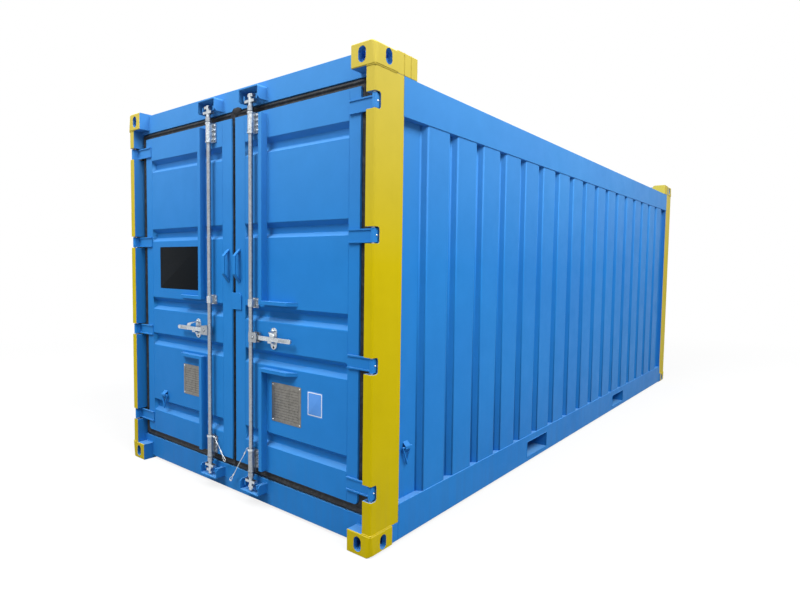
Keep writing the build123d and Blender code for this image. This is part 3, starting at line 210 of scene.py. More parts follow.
def dipped_zinc(tree, place, pale, dark):
    """Inputs of hot-dip galvanised steel, dipped after forging and left bare.

    It gives the eye a bright blue-grey metal, cloudy, with small crystals of slightly different shine.
    """
    look = bpy.context.scene.container_paint
    # Zinc crystals on small forgings are 3 to 8 mm across
    cells = add(tree, "ShaderNodeTexVoronoi", {"Vector": place, "Scale": 150.0, "Randomness": 1.0}, out="Color")
    shade = add(tree, "ShaderNodeSeparateColor", {"Color": cells})
    film = add(tree, NOISE, {"Vector": place, "Scale": 16.0, "Detail": 5.0, "Roughness": 0.6})
    # Dross and drips leave grains about 2 mm wide, drawn 4 mm wide so that they show
    grain = add(tree, NOISE, {"Vector": place, "Scale": 250.0, "Detail": 2.0})
    tone = add(tree, MIX, {0: shade, 6: linear(dark), 7: linear(pale)}, **COLOURS)
    tone = add(tree, MIX, {0: add(tree, RANGE, (film, 0.45, 0.75, 0.0, 0.5)), 6: tone, 7: linear(dark)}, **COLOURS)
    both = add(tree, MATH, (shade, film), operation="ADD")
    rough = add(tree, RANGE, (both, 0.3, 1.5, look.zinc - 0.08, look.zinc + 0.12))
    normal = add(tree, BUMP, {"Height": grain, "Strength": 0.4, "Distance": 0.0004})
    return {"Base Color": tone, "Roughness": rough, "Normal": normal, "Metallic": 1.0}


def extruded_rubber(tree, place):
    """Inputs of extruded EPDM rubber: deep dull black, with grey bloom in patches and fine lines along it."""
    bloom = add(tree, NOISE, {"Vector": place, "Scale": 30.0, "Detail": 5.0, "Roughness": 0.65})
    grain = add(tree, NOISE, {"Vector": place, "Scale": 400.0, "Detail": 2.0})
    cast = add(tree, RANGE, (bloom, 0.48, 0.75))
    tone = add(tree, MIX, {0: cast, 6: linear("1c1e21"), 7: linear("3f4347")}, **COLOURS)
    rough = add(tree, RANGE, (bloom, 0.3, 0.8, 0.48, 0.66))
    normal = add(tree, BUMP, {"Height": grain, "Strength": 0.3, "Distance": 0.0003})
    return {"Base Color": tone, "Roughness": rough, "Normal": normal, "Specular IOR Level": 0.2}


def brushed_steel(tree, place, pale, dark):
    """Inputs of brushed stainless plate, etched: level lines, a grey sheen and darker etched patches.

    Brush lines are 0.2 mm apart and are drawn 1.5 mm apart so that they show.
    """
    fine = add(tree, NOISE, {"Vector": add(tree, SHIFT, {"Vector": place, "Scale": (1.0, 8.0, 700.0)}),
                             "Scale": 1.0, "Detail": 3.0})
    stain = add(tree, NOISE, {"Vector": place, "Scale": 40.0, "Detail": 4.0, "Roughness": 0.65})
    line = add(tree, RANGE, (fine, 0.3, 0.7))
    tone = add(tree, MIX, {0: line, 6: linear(dark), 7: linear(pale)}, **COLOURS)
    etch = add(tree, RANGE, (stain, 0.45, 0.7, 0.0, 0.55))
    tone = add(tree, MIX, {0: etch, 6: tone, 7: linear("5b5a56")}, **COLOURS)
    rough = add(tree, RANGE, (fine, 0.3, 0.7, 0.34, 0.5))
    normal = add(tree, BUMP, {"Height": fine, "Strength": 0.3, "Distance": 0.0003})
    return {"Base Color": tone, "Roughness": rough, "Normal": normal, "Metallic": 1.0}


def cut_vinyl(tree, place, colour, wear_and_top_light):
    """Inputs of cut vinyl film, laid on enamel: one flat colour with a low sheen and faint pressing marks."""
    mottle = add(tree, NOISE, {"Vector": place, "Scale": 22.0, "Detail": 4.0, "Roughness": 0.6})
    fine = add(tree, NOISE, {"Vector": place, "Scale": 220.0, "Detail": 2.0})
    cast = add(tree, RANGE, (mottle, 0.35, 0.8, 0.0, 0.6))
    tone = add(tree, MIX, {0: cast, 6: linear(colour), 7: linear(wear_and_top_light)}, **COLOURS)
    rough = add(tree, RANGE, (mottle, 0.3, 0.8, 0.38, 0.55))
    normal = add(tree, BUMP, {"Height": fine, "Strength": 0.2, "Distance": 0.0003})
    return {"Base Color": tone, "Roughness": rough, "Normal": normal, "Specular IOR Level": 0.03}


def sealed_plywood(tree, place):
    """Inputs of sealed hardwood plywood, rotary cut: brown wood with long grain and butt joints every 1.22 m.

    The grain is 2 to 5 mm wide and is drawn 12 mm wide because it is seen from the door.
    """
    along = add(tree, SHIFT, {"Vector": place, "Scale": (2.0, 60.0, 60.0)})
    grain = add(tree, NOISE, {"Vector": along, "Scale": 1.4, "Detail": 6.0, "Roughness": 0.62})
    sheet = add(tree, MATH, (add(tree, SPLIT, {"Vector": place}, out="X"), 1.22), operation="DIVIDE")
    part = add(tree, MATH, (sheet,), operation="FRACT")
    inside = add(tree, MATH, (part, 0.5, 0.4975), operation="COMPARE")
    tint = add(tree, "ShaderNodeTexWhiteNoise", {"W": add(tree, MATH, (sheet,), operation="FLOOR")},
               noise_dimensions="1D")
    light = add(tree, RANGE, (grain, 0.3, 0.75))
    tone = add(tree, MIX, {0: light, 6: linear("6f4a2b"), 7: linear("a27446")}, **COLOURS)
    shade = add(tree, RANGE, (tint, 0.0, 1.0, 0.82, 1.0))
    tone = add(tree, MIX, {0: 1.0, 6: tone, 7: shade}, **COLOURS, blend_type="MULTIPLY")
    tone = add(tree, MIX, {0: inside, 6: linear("24180e"), 7: tone}, **COLOURS)
    rough = add(tree, RANGE, (grain, 0.3, 0.75, 0.4, 0.6))
    normal = add(tree, BUMP, {"Height": grain, "Strength": 0.3, "Distance": 0.0008})
    return {"Base Color": tone, "Roughness": rough, "Normal": normal}


def spot(depth, across, up):
    """Points in metres from a depth behind the door end, a distance across and a height, in millimetres."""
    x, y, z = np.broadcast_arrays(np.asarray(depth, float), across, up)
    return np.stack([x / 1000 - HALF_LENGTH, y / 1000, z / 1000], -1)


def lofted(rings, endless=False):
    """A closed shell of quads through rings of points, with a flat face over each end unless it is endless."""
    rows, columns = rings.shape[:2]
    i, j = np.meshgrid(np.arange(rows if endless else rows - 1), np.arange(columns), indexing="ij")
    i2, j2 = (i + 1) % rows, (j + 1) % columns
    quads = np.stack([i * columns + j, i * columns + j2, i2 * columns + j2, i2 * columns + j], -1)
    faces = quads.reshape(-1, 4).tolist()
    if not endless:
        faces += [list(range(columns))[::-1], list(range((rows - 1) * columns, rows * columns))]
    return rings.reshape(-1, 3), faces


def side_vectors(path, level, endless=False):
    """The unit vectors s = t x level and o = t x s at each point of a path whose direction is t."""
    ahead = np.roll(path, -1, 0) - np.roll(path, 1, 0) if endless else np.gradient(path, axis=0)
    ahead /= np.linalg.norm(ahead, axis=1)[:, None]
    side = np.cross(ahead, level)
    side /= np.linalg.norm(side, axis=1)[:, None]
    return side, np.cross(ahead, side)


def tube(path, radius, sides=8, endless=False, level=LENGTHWISE):
    """A tube along a path that never runs along level.

    With s and o the path's side vectors, the point of ring i at angle a is
    path[i] + radius[i] (cos a s[i] + sin a o[i]).
    """
    path = np.asarray(path, float)
    radius = np.broadcast_to(np.asarray(radius, float), (len(path),))
    side, over = side_vectors(path, level, endless)
    angle = np.linspace(0, 2 * np.pi, sides, endpoint=False)
    ring = np.cos(angle)[None, :, None] * side[:, None] + np.sin(angle)[None, :, None] * over[:, None]
    return lofted(path[:, None] + radius[:, None, None] * ring, endless)


def run_along(line):
    """Distance run along a line at each of its points."""
    return np.append(0.0, np.cumsum(np.linalg.norm(np.diff(line, axis=0), axis=1)))


def spaced(line, step, fewest, corners=False):
    """Points at even steps along a line, with its own points too if corners is set, and the run at each."""
    run = run_along(line)
    at = np.linspace(0, run[-1], max(int(run[-1] / step), fewest))
    if corners:
        at = np.union1d(at, run)
    return np.stack([np.interp(at, run, line[:, k]) for k in range(3)], -1), at


def turned(profile, sides, centre=ORIGIN, axis=OUTWARD):
    """A turned shell: the point at angle a of row (r, h) is centre + h axis + r (cos a u + sin a v)."""
    radius, height = np.asarray(profile, float).T
    axis = np.asarray(axis, float)
    u = np.roll(axis, 1)
    v = np.cross(axis, u)
    angle = np.linspace(0, 2 * np.pi, sides, endpoint=False)
    ring = np.cos(angle)[:, None] * u + np.sin(angle)[:, None] * v
    return lofted(np.asarray(centre, float) + height[:, None, None] * axis + radius[:, None, None] * ring)


def rounded(half_wide, half_high, corner, steps=5, stops=()):
    """Outline of a rectangle with round corners, each point its corner's centre + corner (cos a, sin a).

    It goes anticlockwise from the lower right, and stops are extra heights on its left side.
    """
    turn = np.linspace(0, np.pi / 2, steps)
    runs = []
    for k, (right, top) in enumerate(((1, -1), (1, 1), (-1, 1), (-1, -1))):
        angle = turn + (k - 1) * np.pi / 2
        runs.append(np.stack([right * (half_wide - corner) + corner * np.cos(angle),
                              top * (half_high - corner) + corner * np.sin(angle)], -1))
        if k == 2 and len(stops):
            runs.append(np.stack([np.full(len(stops), -half_wide), np.asarray(stops, float)], -1))
    return np.concatenate(runs)


def on_door(across, up, wide, high, depth, thickness, corner, edge):
    """A plate with round corners on the door end, its outer edge a quarter circle: sizes in millimetres.

    Ring k lies edge (1 - cos a) inside the outline and stands thickness - edge (1 - sin a) before the depth.
    """
    turn = np.linspace(0, np.pi / 2, 4)
    inset = np.append(0.0, edge * (1 - np.cos(turn)))
    rise = np.append(0.0, thickness - edge * (1 - np.sin(turn)))
    rings = []
    for gap, height in zip(inset, rise):
        flat = rounded(wide / 2 - gap, high / 2 - gap, max(corner - gap, 0.1))
        rings.append(spot(depth - height, across - flat[:, 0], up + flat[:, 1]))
    return lofted(np.array(rings))


def joined(parts):
    """Points and faces of several shells in one list."""
    points, faces, start = [], [], 0
    for part_points, part_faces in parts:
        points.append(part_points)
        faces += [[v + start for v in face] for face in part_faces]
        start += len(part_points)
    return np.concatenate(points), faces


def repeated(part, places):
    """A shell copied to several places: each copy's points are the shell's plus its place."""
    points, faces = part
    places = np.asarray(places, float).reshape(-1, 3)
    moved = (places[:, None] + points[None]).reshape(-1, 3)
    return moved, [[v + k * len(points) for v in face] for k in range(len(places)) for face in faces]


def bolt(radius):
    """A hexagon bolt head with a chamfer, on a washer, at the origin."""
    washer = radius * np.array([(0, 0), (1.3, 0), (1.3, 0.18), (1.2, 0.25), (0, 0.25)])
    head = radius * np.array([(0, 0.2), (1, 0.2), (1, 0.8), (0.84, 0.92), (0, 0.94)])
    return joined([turned(washer, 14), turned(head, 6)])


def rivet(radius):
    """A domed rivet head at the origin: r = radius cos a and h = 0.55 radius sin a."""
    turn = np.linspace(0, np.pi / 2, 5)
    rows = np.stack([radius * np.cos(turn), 0.55 * radius * np.sin(turn)], -1)
    return turned(np.concatenate([[[0, -0.0005], [radius, -0.0005]], rows]), 12)


def bead(corners, radius, level=LENGTHWISE):
    """A weld bead along straight runs, half sunk in what it joins.

    Rings stand 6 mm apart and the radius is radius (1 + 0.16 sin(2 pi s / 19 mm) + 0.08 sin(2 pi s / 47 mm)).
    Real ripples are 2 to 3 mm apart and are drawn 19 mm apart so that they show.
    """
    path, run = spaced(np.asarray(corners, float), 0.006, 3, corners=True)
    swell = 1 + 0.16 * np.sin(2 * np.pi * run / 0.019) + 0.08 * np.sin(2 * np.pi * run / 0.047)
    return tube(path, radius * swell, 6, level=level)


def leaf_beads(depth, across, limits, radius):
    """Upright weld beads on a door leaf at several places across, broken at the grooves between two heights."""
    low, high = limits
    cuts = [low] + [z + step for z in GROOVES if low < z < high for step in (-GROOVE_REACH, GROOVE_REACH)] + [high]
    return [bead(spot(depth, column, run), radius) for column in across for run in zip(cuts[::2], cuts[1::2])]


def linked(name, data):
    """A new object with its data, linked to the scene."""
    thing = bpy.data.objects.new(name, data)
    bpy.context.scene.collection.objects.link(thing)
    return thing


def placed(name, mesh, coats, body, stands_for, slot=None):
    """Link a mesh as a piece with its materials, the body that it rides and the nodes that it stands for.

    Its material slot is worked out from its first coat, unless another slot is given, or "" for none, but is not
    filled.
    """
    thing = linked(name, mesh)
    for coat in coats:
        mesh.materials.append(MATERIALS[coat])
    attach(thing, body)
    slot = SLOTS.get(coats[0]) if slot is None else slot
    if stands_for:
        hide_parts(*stands_for)
    return thing


def smoothed(work, mesh):
    """Write a bmesh to a mesh and shade every face smooth."""
    work.to_mesh(mesh)
    work.free()
    mesh.polygons.foreach_set("use_smooth", np.ones(len(mesh.polygons), bool))


def shell(name, parts, coat, body, stands_for=(), crisp=35.0, slot=None):
    """A piece from closed shells, shaded smooth except at edges sharper than crisp degrees."""
    points, faces = joined(parts)
    mesh = bpy.data.meshes.new(name)
    mesh.from_pydata(points.tolist(), [], faces)
    work = bmesh.new()
    work.from_mesh(mesh)
    bmesh.ops.remove_doubles(work, verts=work.verts, dist=0.000001)
    bmesh.ops.recalc_face_normals(work, faces=work.faces)
    smoothed(work, mesh)
    mesh.set_sharp_from_angle(angle=math.radians(crisp))
    return placed(name, mesh, [coat], body, stands_for, slot)


def softened(node, width, coats=(BLUE,), widest=180.0, segments=2, reshape=None):
    """A copy of a CAD node with its edges rounded, which stands for the node.

    Flat triangles are dissolved first, so that only real edges are rounded. Edges that turn by less than
    25 or by more than widest degrees stay as they are, which keeps the rim of a pressed sheet sharp. The
    function reshape may move the copy's points first.
    """
    source = NODES[node].data.copy()
    if reshape:
        at = np.empty(len(source.vertices) * 3)
        source.vertices.foreach_get("co", at)
        source.vertices.foreach_set("co", reshape(at.reshape(-1, 3)).ravel())
    work = bmesh.new()
    work.from_mesh(source)
    bpy.data.meshes.remove(source)
    bmesh.ops.remove_doubles(work, verts=work.verts, dist=0.00002)
    bmesh.ops.dissolve_limit(work, angle_limit=math.radians(1.0), verts=work.verts, edges=work.edges)
    work.normal_update()
    folds = [edge for edge in work.edges if len(edge.link_faces) == 2
             and math.radians(25) < edge.calc_face_angle(0.0) < math.radians(widest)]
    bmesh.ops.bevel(work, geom=folds, offset=width, offset_type="OFFSET", segments=segments, profile=0.5,
                    affect="EDGES", clamp_overlap=True)
    mesh = bpy.data.meshes.new(node + "_soft")
    smoothed(work, mesh)
    thing = placed(node + "_soft", mesh, coats, NODES[node]["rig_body"], (node,))
    shade = thing.modifiers.new("weighted", "WEIGHTED_NORMAL")
    shade.weight = 60
    return thing


def paint_faces(thing, index, test):
    """Give a material index to the faces whose centres and normals, as arrays of x, y and z, pass a test."""
    count = len(thing.data.polygons)
    centre, normal, slots = np.empty(count * 3), np.empty(count * 3), np.empty(count, np.int32)
    thing.data.polygons.foreach_get("center", centre)
    thing.data.polygons.foreach_get("normal", normal)
    thing.data.polygons.foreach_get("material_index", slots)
    slots[test(centre.reshape(-1, 3).T, normal.reshape(-1, 3).T)] = index
    thing.data.polygons.foreach_set("material_index", slots)
    thing.data.update()


class PaintSettings(bpy.types.PropertyGroup):
    """Colours and state of the surfaces."""
    blue: FloatVectorProperty(name="Blue", description="Enamel of the container", subtype="COLOR", size=3,
                              min=0.0, max=1.0, default=linear("2678c2")[:3])
    yellow: FloatVectorProperty(name="Yellow", description="Enamel of the corner posts and fittings",
                                subtype="COLOR", size=3, min=0.0, max=1.0, default=linear("beaa02")[:3])
    gloss: FloatProperty(name="Enamel roughness", description="Higher is duller", subtype="FACTOR",
                         default=0.44, min=0.1, max=0.9)
    zinc: FloatProperty(name="Zinc roughness", description="Higher is duller", subtype="FACTOR",
                        default=0.36, min=0.1, max=0.9)
    peel: FloatProperty(name="Orange peel", description="Depth of the fine dimples of the enamel",
                        unit="LENGTH", default=0.0003, min=0.0, max=0.002)
    wave: FloatProperty(name="Sheet waves", description="Depth of the shallow waves of the sheets",
                        unit="LENGTH", default=0.003, min=0.0, max=0.01)
    grime: FloatProperty(name="Road film", description="How much film lies near the ground",
                         subtype="FACTOR", default=0.12, min=0.0, max=1.0)
    # Painted light: how far the enamel is painted paler towards the top, as if more lit there
    painted_top_light: FloatProperty(name="Top_light_painted", description="How pale sun and rain have made the top",
                         subtype="FACTOR", default=0.13, min=0.0, max=1.0)
    # Painted light: how far the enamel is painted paler on faces that look up, as if lit from above
    painted_upward_light: FloatProperty(name="Upward_light_painted", description="How much dust lies on faces that look up",
                        subtype="FACTOR", default=0.25, min=0.0, max=1.0)


class SizeSettings(bpy.types.PropertyGroup):
    """Sizes of rounded edges and small parts."""
    edge: FloatProperty(name="Edge round", description="Radius on the edges of rolled sections",
                        unit="LENGTH", default=0.003, min=0.0005, max=0.006)
    fold: FloatProperty(name="Fold round", description="Size of the bends of the pressed sheets",
                        unit="LENGTH", default=0.009, min=0.002, max=0.012)
    bead: FloatProperty(name="Weld bead", description="Radius of the weld beads",
                        unit="LENGTH", default=0.0032, min=0.001, max=0.006)
    bolt: FloatProperty(name="Bolt head", description="Radius of the bracket bolts' heads",
                        unit="LENGTH", default=0.0085, min=0.004, max=0.010)
    lay: FloatProperty(name="Rope lay", description="Length of one turn of the lanyards' strands",
                       unit="LENGTH", default=0.020, min=0.01, max=0.04)


class StageSettings(bpy.types.PropertyGroup):
    """Where the photograph was taken from, and the light."""
    place: FloatVectorProperty(name="Camera place", description="Where the camera stands",
                               subtype="TRANSLATION", unit="LENGTH", default=(-5.10707, -3.01589, 1.49630))
    yaw: FloatProperty(name="Yaw", description="Turn of the camera about the vertical",
                       subtype="ANGLE", default=math.radians(38.066))
    pitch: FloatProperty(name="Pitch", description="Tilt of the camera",
                         subtype="ANGLE", default=math.radians(-3.477))
    roll: FloatProperty(name="Roll", description="Lean of the camera",
                        subtype="ANGLE", default=math.radians(0.817))
    lens: FloatProperty(name="Lens", description="Focal length on a 36 mm sensor",
                        unit="CAMERA", default=25.078, min=1.0)
    sky: FloatProperty(name="Sky", description="Strength of the light from all round",
                       default=0.45, min=0.0, max=2.0)
    front: FloatProperty(name="Front lamp", description="Power of the lamp before the doors",
                         unit="POWER", default=820.0, min=0.0)
    side: FloatProperty(name="Side lamp", description="Power of the lamp beside the long wall",
                        unit="POWER", default=1010.0, min=0.0)
    top: FloatProperty(name="Top lamp", description="Power of the lamp overhead",
                       unit="POWER", default=450.0, min=0.0)


class CONTAINER_OT_camera(bpy.types.Operator):
    """Place the camera as the photograph's was."""
    bl_idname = "container.camera"
    bl_label = "Camera"

    def execute(self, context):
        view = context.scene.container_stage
        yaw, pitch, roll = view.yaw, view.pitch, view.roll
        ahead = Vector((math.cos(pitch) * math.cos(yaw), math.cos(pitch) * math.sin(yaw), math.sin(pitch)))
        level = Vector((math.sin(yaw), -math.cos(yaw), 0.0))
        above = level.cross(ahead)
        across = math.cos(roll) * level + math.sin(roll) * above
        up = math.cos(roll) * above - math.sin(roll) * level
        data = bpy.data.cameras.new("camera")
        data.lens = view.lens
        data.sensor_width = 36.0
        data.clip_end = 200.0
        camera = linked("camera", data)
        turn = Matrix((across, up, -ahead)).transposed().to_4x4()
        camera.matrix_world = Matrix.Translation(Vector(view.place)) @ turn
        context.scene.camera = camera
        return {"FINISHED"}


class CONTAINER_OT_materials(bpy.types.Operator):
    """Make the finishes of steel, rubber, film and wood."""
    bl_idname = "container.materials"
    bl_label = "Materials"

    def execute(self, context):
        look = context.scene.container_paint
        # The last colour of each enamel is its painted light, laid towards the top and on faces that look up
        finish(BLUE, sprayed_enamel, look.blue, "2a86cd", "9fd0f5")
        finish(YELLOW, sprayed_enamel, look.yellow, "ccb818", "d8d6c8")
        finish(ZINC, dipped_zinc, "acb2b8", "92989e")
        finish(FORGED, dipped_zinc, "d3d9dd", "b0b7bd")
        finish(ROPE, dipped_zinc, "e6eaec", "c4cacd")
        finish(NIPPLE, dipped_zinc, "e2e5e6", "c6cacc")
        finish(RUBBER, extruded_rubber)
        finish(STEEL_PLATE, brushed_steel, "8f8d88", "74726d")
        finish(BLACK_FILM, cut_vinyl, "0d1115", "13181d")
        finish(WHITE_FILM, cut_vinyl, "e4e6e6", "d2d5d6")
        finish(BLUE_FILM, cut_vinyl, "5791da", "6398de")
        finish(WOOD, sealed_plywood)
        return {"FINISHED"}


# The lanyards' routes: depth behind the door end, then across and up, in millimetres
ROUTES = {
    "right": ((25, -186, 355), (25, -171, 354), (28, -160, 328), (30, -143, 307), (33, -124, 285),
              (37, -90, 245), (41, -56, 203), (44, -26, 161), (45, -3, 131)),
    "left": ((25, 186, 355), (25, 171, 354), (28, 161, 331), (32, 146, 307), (36, 130, 281), (39, 113, 254)),
}
EYE_TIPS = {"right": (46, 33, 88), "left": (41, 78, 203)}
ROPE_RADIUS = 0.002


def route_line(name, route):
    """Points along one NURBS spline whose control points are a route's."""
    curve = bpy.data.curves.new(name, "CURVE")
    curve.dimensions = "3D"
    curve.resolution_u = 8
    spline = curve.splines.new("NURBS")
    spline.points.add(len(route) - 1)
    for point, (depth, across, up) in zip(spline.points, route):
        point.co = (*spot(depth, across, up), 1.0)
    spline.order_u = 3
    spline.use_endpoint_u = True
    guide = linked(name, curve)
    bpy.context.view_layer.update()
    mesh = bpy.data.meshes.new_from_object(guide.evaluated_get(bpy.context.evaluated_depsgraph_get()))
    line = np.empty(len(mesh.vertices) * 3)
    mesh.vertices.foreach_get("co", line)
    bpy.data.objects.remove(guide)
    bpy.data.curves.remove(curve)
    bpy.data.meshes.remove(mesh)
    return line.reshape(-1, 3)


def strands(line, lay):
    """Six strands of a wire rope: strand k lies 0.64 radius off the line at the angle 2 pi (s / lay + k / 6)."""
    path, run = spaced(line, lay / 10, 8)
    side, over = side_vectors(path, LENGTHWISE)
    angles = [2 * np.pi * (run / lay + k / 6) for k in range(6)]
    return [tube(path + 0.64 * ROPE_RADIUS * (np.cos(a)[:, None] * side + np.sin(a)[:, None] * over),
                 0.37 * ROPE_RADIUS, 5) for a in angles]


def ferrule(start, end):
    """A pressed sleeve on the rope, with rounded ends and two crimped waists: rows of radius along its run."""
    profile = np.array([0.0028, 0.0048, 0.0056, 0.0050, 0.0056, 0.0056, 0.0050, 0.0056, 0.0049, 0.0028])
    return tube(start + np.linspace(0, 1, 10)[:, None] * (end - start), profile, 14)


def drop_eye(end, tip):
    """A rope eye, and its ferrule.

    With t from 0 to 1, the drop-shaped loop stands 2 mm + (reach - 2 mm) sin(pi t) ** 1.05 ahead of the
    rope's end and 13 mm sin(2 pi t) (0.4 + 0.6 sin(pi t) ** 2) to the side.
    """
    run = tip - end
    reach = np.linalg.norm(run) - ROPE_RADIUS
    along = run / np.linalg.norm(run)
    flat = np.cross(along, LENGTHWISE)
    flat /= np.linalg.norm(flat)
    share = np.linspace(0, 1, 48, endpoint=False)
    bulge = 0.013 * np.sin(2 * np.pi * share) * (0.4 + 0.6 * np.sin(np.pi * share) ** 2)
    ahead = 0.002 + (reach - 0.002) * np.sin(np.pi * share) ** 1.05
    loop = end + ahead[:, None] * along + bulge[:, None] * flat
    return [tube(loop, 0.0019, endless=True)], ferrule(end - 0.018 * along, end + 0.008 * along)


class CONTAINER_OT_lanyards(bpy.types.Operator):
    """Lay the two wire rope lanyards, each with its ferrule and eye."""
    bl_idname = "container.lanyards"
    bl_label = "Lanyards"

    def execute(self, context):
        lay = context.scene.container_sizes.lay
        for side, _, door in SIDES:
            line = route_line(side + "_route", ROUTES[side])
            rope = shell(side + "_lanyard_rope", strands(line, lay), ROPE, door, (side + "_lanyard",))
            loop, lower = drop_eye(line[-1], spot(*EYE_TIPS[side]))
            eye = shell(side + "_lanyard_loop", loop, ROPE, door, (side + "_lanyard_eye",))
            upper = ferrule(*line[np.searchsorted(run_along(line), (0.046, 0.070))])
            sleeve = shell(side + "_lanyard_ferrules", [upper, lower], NIPPLE, door)
        return {"FINISHED"}


def wider_corner(at):
    """The fittings' points with wider corners at the container's foot and top, as the castings have.

    A point on the upright corner's arc, at r and angle a about the centre of its 14 mm arc, goes to r + g
    about a centre that lies g further in on both axes, with g = 18 mm at the foot and the top, and nought
    where a fitting meets its post. The level edge along the side, a 4 mm chamfer, widens by w times 18 mm
    inward and w times 12 mm upright, where w is the sine of a, and one past the arc.
    """
    arc, chamfer, inward, upright, slack = 0.014, 0.004, 0.018, 0.012, 0.0001
    sign, plan = np.sign(at[:, :2]), np.abs(at[:, :2])
    side, far = np.sign(at[:, 2] - HEIGHT / 2), abs(at[:, 2] - HEIGHT / 2)
    centre = np.array([HALF_LENGTH, HALF_WIDTH]) - arc
    arm = plan - centre
    corner = (arm > -slack).all(1)
    grow = np.where(far > HEIGHT / 2 - 0.06, inward, 0.0)[:, None]
    reach = np.linalg.norm(arm, axis=1)[:, None] + 0.000001
    plan = np.where(corner[:, None], centre - grow + arm / reach * (reach + grow), plan)
    past = (arm[:, 1] > arc - chamfer - slack) & (arm[:, 0] < 0)
    share = np.where(corner, np.clip(arm[:, 1] / reach[:, 0], 0, 1), np.where(past, 1.0, 0.0))
    level = far > HEIGHT / 2 - slack
    plan[:, 1] -= np.where(level, inward * share, 0.0)
    lowered = np.where((far > HEIGHT / 2 - chamfer - slack) & ~level, upright * share, 0.0)
    return np.column_stack([sign * plan, at[:, 2] - side * lowered])


class CONTAINER_OT_corners(bpy.types.Operator):
    """Round and paint the corner fittings, posts and guard blocks: yellow outside, blue inside."""
    bl_idname = "container.corners"
    bl_label = "Corners"

    def execute(self, context):
        sizes = context.scene.container_sizes
        for node in ("bottom_fittings", "top_fittings", "door_posts", "rear_posts"):
            piece = softened(node, 0.8 * sizes.edge, [YELLOW, BLUE],
                             reshape=wider_corner if "fittings" in node else None)
            # Yellow are the faces that look outwards and lie within 16 mm of the container's ends and sides
            paint_faces(piece, 1, lambda at, facing: ~(
                ((abs(at[0]) > HALF_LENGTH - 0.016) & (abs(facing[0]) > 0.05))
                | ((abs(at[1]) > HALF_WIDTH - 0.0165) & (abs(facing[1]) > 0.05))))
        piece = softened("top_guards", 1.3 * sizes.edge, [YELLOW, BLUE])
        paint_faces(piece, 1, lambda at, facing: facing[2] < -0.5)
        # Each guard block has two seams, which run up its face and over its top
        bends = ((1.2142, 2.476), (1.2142, 2.586), (1.060, 2.5882))
        seams = [bead([(end * along, sign * out, up) for out, up in bends], sizes.bead)
                 for end, sign in CORNERS for along in (2.738, 2.795)]
        shell("guard_seams", seams, YELLOW, "container")
        return {"FINISHED"}


class CONTAINER_OT_frame(bpy.types.Operator):
    """Round the rails, beams, pressed walls and roof."""
    bl_idname = "container.frame"
    bl_label = "Frame and walls"

    def execute(self, context):
        sizes = context.scene.container_sizes
        for node in ("top_rails", "bottom_rails", "door_header", "door_sill", "rear_header", "rear_sill"):
            softened(node, sizes.edge)
        for node in ("right_side_wall", "left_side_wall", "rear_wall", "roof"):
            softened(node, sizes.fold, widest=75.0, segments=3)
        return {"FINISHED"}


class CONTAINER_OT_underframe(bpy.types.Operator):
    """Paint the cross members and fork pockets, and screw the plywood floor down."""
    bl_idname = "container.underframe"
    bl_label = "Underframe and floor"

    def execute(self, context):
        for node in ("cross_members", "fork_pockets"):
            softened(node, 0.0012, segments=1)
        NODES["floor"].data.materials[0] = MATERIALS[WOOD]
        low, high = (np.array(corner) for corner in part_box("floor"))
        rows, lines = np.meshgrid(np.arange(low[0] + 0.15, high[0], 0.30), np.linspace(low[1], high[1], 12)[1:-1])
        heads = np.stack([rows, lines, np.full(rows.shape, high[2])], -1)
        screw = turned([(0, -0.0005), (0.006, -0.0005), (0.006, 0.0002), (0.0045, 0.0006), (0, 0.0006)],
                       8, axis=UPRIGHT)
        shell("floor_screws", [repeated(screw, heads)], ZINC, "container")
        return {"FINISHED"}


class CONTAINER_OT_leaves(bpy.types.Operator):
    """Round the door leaves' folds and weld their sheet to the stiles."""
    bl_idname = "container.leaves"
    bl_label = "Door leaves"

    def execute(self, context):
        sizes = context.scene.container_sizes
        for side, sign, door in SIDES:
            softened(side + "_door_leaf", 0.55 * sizes.fold, widest=75.0)
            beads = leaf_beads(LEAF_DEPTH + 1, (sign * 118, sign * 995), (LEAF[2] + 12, LEAF[3] - 12),
                               0.8 * sizes.bead)
            shell(side + "_leaf_welds", beads, BLUE, door)
        softened("overlap_plate", 0.6 * sizes.edge)
        return {"FINISHED"}


def seal_frame(sign, notch):
    """A door seal: a section carried round from the leaf's edge to the frame's.

    With i and o the inner and the outer outline and (t, d) a row of the section, the point is
    i + t (o - i) at the depth d. Along the notch of the left seal t is nought, which leaves room
    for the plate that covers the joint.
    """
    section = np.array([(0, 92), (0, 72), (0.05, 69), (0.13, 68), (0.21, 70), (0.28, 74.5), (0.40, 76.5),
                        (0.50, 74.5), (0.57, 69.5), (0.66, 68), (0.76, 69.5), (0.84, 75), (0.92, 79), (1, 80.5),
                        (1, 92)])
    stops = [notch[1] + 1, notch[1], notch[0], notch[0] - 1] if notch else []
    steps = 6
    loops = []
    for (near, far, low, high), corner in ((LEAF, 25), (SEAL, 14)):
        flat = rounded((far - near) / 2, (high - low) / 2, corner, steps, np.array(stops) - (low + high) / 2)
        loops.append(flat + [(near + far) / 2, (low + high) / 2])
    inner, outer = loops
    share = np.ones(len(inner))
    if notch:
        # The stops come after three corners, and the second and the third of them bound the notch
        share[3 * steps + 1:3 * steps + 3] = 0.0
    rings = []
    for t, depth in section:
        flat = inner + t * share[:, None] * (outer - inner)
        rings.append(spot(depth, sign * flat[:, 0], flat[:, 1]))
    return lofted(np.array(rings), endless=True)


# The seals' flaps at the top of the joint: the depth of each, then its outline as across and up, in millimetres
FLAPS = {
    "right": (66, ((-66, 2436), (-20, 2430), (18, 2432), (24, 2452), (10, 2466), (-34, 2468), (-60, 2458))),
    "left": (68, ((-2, 2346), (14, 2352), (34, 2392), (44, 2428), (40, 2444), (-4, 2444))),
}


